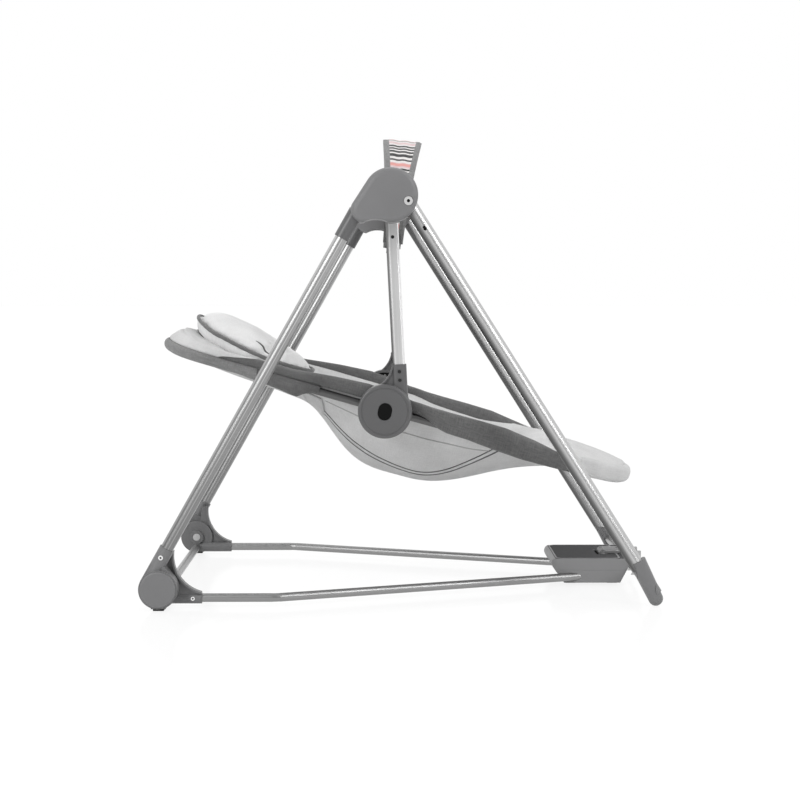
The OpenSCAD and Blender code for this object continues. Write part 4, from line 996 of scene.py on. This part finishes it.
# Head pillow
# A crowned off-white cushion with a dark binding round its upper face and a gathered side wall
# under it; its head end curls up on the swollen end of the seat.
pillow_middle, pillow_half, pillow_side = -0.228, 0.101, 0.112
edge_rise = [(-335, 43), (-320, 42), (-306, 40), (-276, 36), (-237, 28), (-199, 22), (-160, 19), (-120, 17)]


def pillow_narrow(u):
    """The pillow's share of its full width, less towards the foot."""
    return 1 - 0.24 * ease((u + 0.23) / 0.11)


def pillow_edge(a, f=1.0):
    """The seam round the pillow's upper face: a squarish oval, narrower to the foot, raised at the head."""
    c, s = math.cos(a), math.sin(a)
    u = pillow_middle + pillow_half * math.copysign(abs(c) ** 0.82, c) * f
    y = pillow_side * pillow_narrow(u) * math.copysign(abs(s) ** 0.82, s) * f
    v = table(u, edge_rise)
    v += 0.011 * ease((-0.255 - u) / 0.060) * (1 - min(1, abs(y) / 0.100) ** 2)
    return u, y, v


crown_rise = [
    (-331, 0), (-322, 7), (-309, 13), (-295, 20), (-280, 25.5), (-258, 30), (-236, 30.5), (-195, 24.6), (-163, 17),
    (-140, 9), (-126, 2),
]


def crown_over(u, y, settled):
    """Height of the pillow's top over its seam surface: full in the middle, steep at the seam."""
    c = min(1.0, abs(u - pillow_middle) / pillow_half) ** (1 / 0.82)
    reach = max(0.004, pillow_side * pillow_narrow(u) * (1 - c * c) ** 0.41)
    return max(0.0, table(u, crown_rise) - settled) * max(0.0, 1 - min(1.0, abs(y) / reach) ** 3.2) ** 0.55


def pillow_mesh(name, drop, shrink, settled, detail=96, hoops=20):
    """The pillow before it is blown up: its underside, drop deep, and then its crown."""
    points, cloth_uv = [], []
    for crown in (False, True):
        for r in range(hoops):
            f = 1 - r / hoops
            for k in range(detail):
                u, y, v = pillow_edge(2 * math.pi * k / detail, f * shrink)
                rise = crown_over(u, y, settled) if crown else -drop * (1 - f**2.4) ** 0.62
                points.append(seat_point(u, y, v + rise))
                cloth_uv.append((u, y))
        u, y, v = pillow_edge(0, 0)
        points.append(seat_point(u, y, v + (crown_over(u, y, settled) if crown else -drop)))
        cloth_uv.append((u, y))
    return soft_piece(name, points, layered_disc(hoops, detail), cloth_uv, pillow_cloth)


def apply_to(piece, modifier):
    bpy.ops.object.select_all(action="DESELECT")
    piece.select_set(True)
    bpy.context.view_layer.objects.active = piece
    bpy.ops.object.modifier_apply(modifier=modifier.name)


def lay_map(piece):
    """Cloth coordinates in the seat's plane."""
    mesh = piece.data
    layer = mesh.uv_layers.get("cloth") or mesh.uv_layers.new(name="cloth")
    flat = [seat_coords(vert.co)[:2] for vert in mesh.vertices]
    for loop in mesh.loops:
        layer.data[loop.index].uv = flat[loop.vertex_index]


pillow = pillow_mesh("pillow", 0.010, 0.99, 0.002)
even = pillow.modifiers.new("even", "REMESH")
even.mode, even.voxel_size = "VOXEL", 0.005
apply_to(pillow, even)
pillow.data.polygons.foreach_set("use_smooth", [True] * len(pillow.data.polygons))
settle(pillow, 4.0, 0.004, 16)
finer = pillow.modifiers.new("finer", "SUBSURF")
finer.levels = finer.render_levels = 1
apply_to(pillow, finer)
lay_map(pillow)
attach(pillow, "seat")
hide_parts("head_pillow")

# Pillow under layer and binding
# The pillow's side wall is gathered into a thin dark edge that rests on the seat, and a dark
# binding about 6 mm wide runs round the seam of the upper face.
wall_steps, edge_count = 7, 220


def wall_depth(u):
    """Height of the pillow's side wall, more at the head."""
    return 0.016 * ease((-0.185 - u) / 0.075) + 0.004


loops = []
for k in range(edge_count):
    a = 2 * math.pi * k / edge_count
    u, y, v = pillow_edge(a)
    depth = wall_depth(u)
    gather = 0.0009 * math.sin(46 * a + 3 * ripple(Vector((math.cos(a) * 3, math.sin(a) * 3, 0)), 1.0))
    outer, inner = [], []
    for j in range(wall_steps):
        t = j / (wall_steps - 1)
        swell = math.sin(math.pi * t)
        share = 1 - 0.055 * t**1.5 + 0.012 * swell
        outer.append(seat_point(
            pillow_middle + (u - pillow_middle) * share,
            y * share + gather * swell * math.sin(a),
            v - depth * t + gather * 0.5 * swell,
        ))
        share = 0.90 - 0.055 * t**1.5
        inner.append(seat_point(pillow_middle + (u - pillow_middle) * share, y * share, v - depth * t))
    loops.append(outer + inner[::-1])
wall = roll("pillow_wall", loops, pillow_cloth, closed=True)
lay_map(wall)
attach(wall, "seat")


def edge_cord(name, shrink, lower, wide, tall, material, sides=12):
    """A roll round the pillow's edge: wide across the edge, tall up and down."""
    loops = []
    for k in range(edge_count):
        a = 2 * math.pi * k / edge_count
        u, y, v = pillow_edge(a)
        depth = wall_depth(u) * lower
        middle_u, middle_y = pillow_middle + (u - pillow_middle) * shrink, y * shrink
        out = Vector(((u - pillow_middle) / pillow_half, y / pillow_side)).normalized()
        ridge = 1 + 0.06 * math.sin(170 * a)
        loop = []
        for j in range(sides):
            b = 2 * math.pi * j / sides
            w, t = wide * math.cos(b), tall * math.sin(b)
            loop.append(seat_point(middle_u + out.x * w * ridge, middle_y + out.y * w * ridge, v - depth + t * ridge))
        loops.append(loop)
    cord = roll(name, loops, material, closed=True)
    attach(cord, "seat")
    return cord


pillow_binding = fabric("pillow_binding", tint(0.13), tint(0.22))
edge_cord("pillow_binding", 1.0, 0.0, 0.0026, 0.0031, pillow_binding)
edge_cord("pillow_hem", 0.95, 1.0, 0.0012, 0.0011, binding_cloth)

# Belt slots
# A narrow bound slot on each side of the pillow, near its foot end, lets the shoulder belt through.
slot_steps = 18
pillow_skin = surface_of(pillow)
for side, sign in (("right", -1), ("left", 1)):
    places = []
    for i in range(slot_steps + 1):
        t = i / slot_steps
        u, y = -0.224 + 0.028 * t, sign * (0.0960 - 0.0020 * t)
        hit, normal, _, _ = pillow_skin.ray_cast(seat_point(u, y, 0.2), -seat_up)
        if hit is not None:
            places.append((hit + normal * 0.0001, normal, 0.25 + 0.75 * math.sin(math.pi * t)))
    slot = sewn_cord(f"belt_slot_{side}", places, 0.0021, 0.0007, binding_cloth)
    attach(slot, "seat")

# Toy bar cloth
# A striped woven band with plain grey borders, sewn over a springy stay and arched between
# the arms; it is widest at the top and narrows to the clips.
bar_foot = Vector((-0.0145045, 0, 0.547))
bar_lean = math.radians(5.6)
bar_rise, bar_half = 0.1705, 0.208
arch_r = (bar_half**2 + bar_rise**2) / (2 * bar_rise)
arch_turn = math.acos((arch_r - bar_rise) / arch_r)
band_top, band_end, band_thick, band_border = 0.063, 0.030, 0.0030, 0.009
lens_r = (bar_half**2 + ((band_top - band_end) / 2) ** 2) / (band_top - band_end)
arch_steps, band_steps = 120, 16
lean = Matrix.Rotation(bar_lean, 3, "Y")
points, cloth_uv, edge_values = [], [], []
for layer in (0, 1):
    for i in range(arch_steps + 1):
        turn = arch_turn * (2 * i / arch_steps - 1)
        y = arch_r * math.sin(turn)
        z = bar_rise - arch_r + arch_r * math.cos(turn)
        width = 2 * (math.sqrt(lens_r**2 - y * y) - lens_r + band_top / 2)
        radial = Vector((0, math.sin(turn), math.cos(turn)))
        for j in range(band_steps + 1):
            b = 2 * j / band_steps - 1
            rim_round = band_thick / 2 * (1 - abs(b) ** 14)
            puff = (1 if layer else -1) * rim_round + 0.0006 * math.sin(math.pi * 3 * b) * layer
            place = Vector((b * width / 2, y, z)) + radial * (puff - band_thick / 2)
            points.append(bar_foot + lean @ place)
            cloth_uv.append((b * width / 2, turn * arch_r))
            edge_values.append(abs(b) * width / 2 - width / 2 + band_border)

band_cloth, tree = new_material("band_cloth")
weave = use_group(tree, weave_group)
flat = cloth_map(tree)
wobble = add(tree, "TexNoise", {"Scale": 40, "Vector": flat}).outputs[0]
along = add(tree, "SeparateXYZ", {"Vector": flat}).outputs["Y"]
along = maths(tree, "ADD", along, maths(tree, "MULTIPLY", wobble, 0.0008))
stripe_start, stripe_period = 0.5960, 0.12
periods = maths(tree, "MULTIPLY", maths(tree, "ADD", along, stripe_start), 1 / stripe_period)
ramp = add(tree, "ValToRGB", {"Fac": maths(tree, "FRACT", periods)})
ramp.color_ramp.interpolation = "CONSTANT"
stripe_rows = [
    (0.00, "black"), (0.034, "white"), (0.078, "black"), (0.134, "white"), (0.174, "black"), (0.229, "white"),
    (0.266, "black"), (0.334, "white"), (0.40, "rose"), (0.53, "white"), (0.60, "black"), (0.62, "white"),
    (0.652, "black"), (0.684, "white"), (0.70, "rose"), (0.735, "coral"), (0.795, "rose"), (0.812, "white"),
    (0.857, "black"), (0.896, "white"), (0.954, "black"),
]
thread_tints = {
    "white": (0.80, 0.78, 0.77, 1), "black": (0.012, 0.012, 0.013, 1), "rose": (0.74, 0.56, 0.57, 1),
    "coral": (0.76, 0.34, 0.31, 1),
}
marks = ramp.color_ramp.elements
marks[0].color = thread_tints[stripe_rows[0][1]]
marks[1].position, marks[1].color = stripe_rows[-1][0], thread_tints[stripe_rows[-1][1]]
for place, kind in stripe_rows[1:-1]:
    marks.new(place).color = thread_tints[kind]
plain = cloth_colour(tree, weave, tint(0.15), tint(0.26))
bump = add(tree, "Bump", {"Distance": 0.00012, "Strength": 1.0, "Height": weave.outputs["Height"]})
is_border = ranged(tree, stored(tree, "border"), -0.0002, 0.0002)
shade_with(tree, {
    "Base Color": mixed(tree, is_border, ramp.outputs["Color"], plain), "Roughness": 0.8, "Sheen Weight": 0.2,
    "Normal": bump.outputs[0],
})

band = soft_piece("toy_bar_cloth", points, layered_strip(arch_steps + 1, band_steps + 1), cloth_uv, band_cloth)
face_out(band)
store(band, "border", edge_values)
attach(band, "toy_bar")
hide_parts("toy_bar_band")
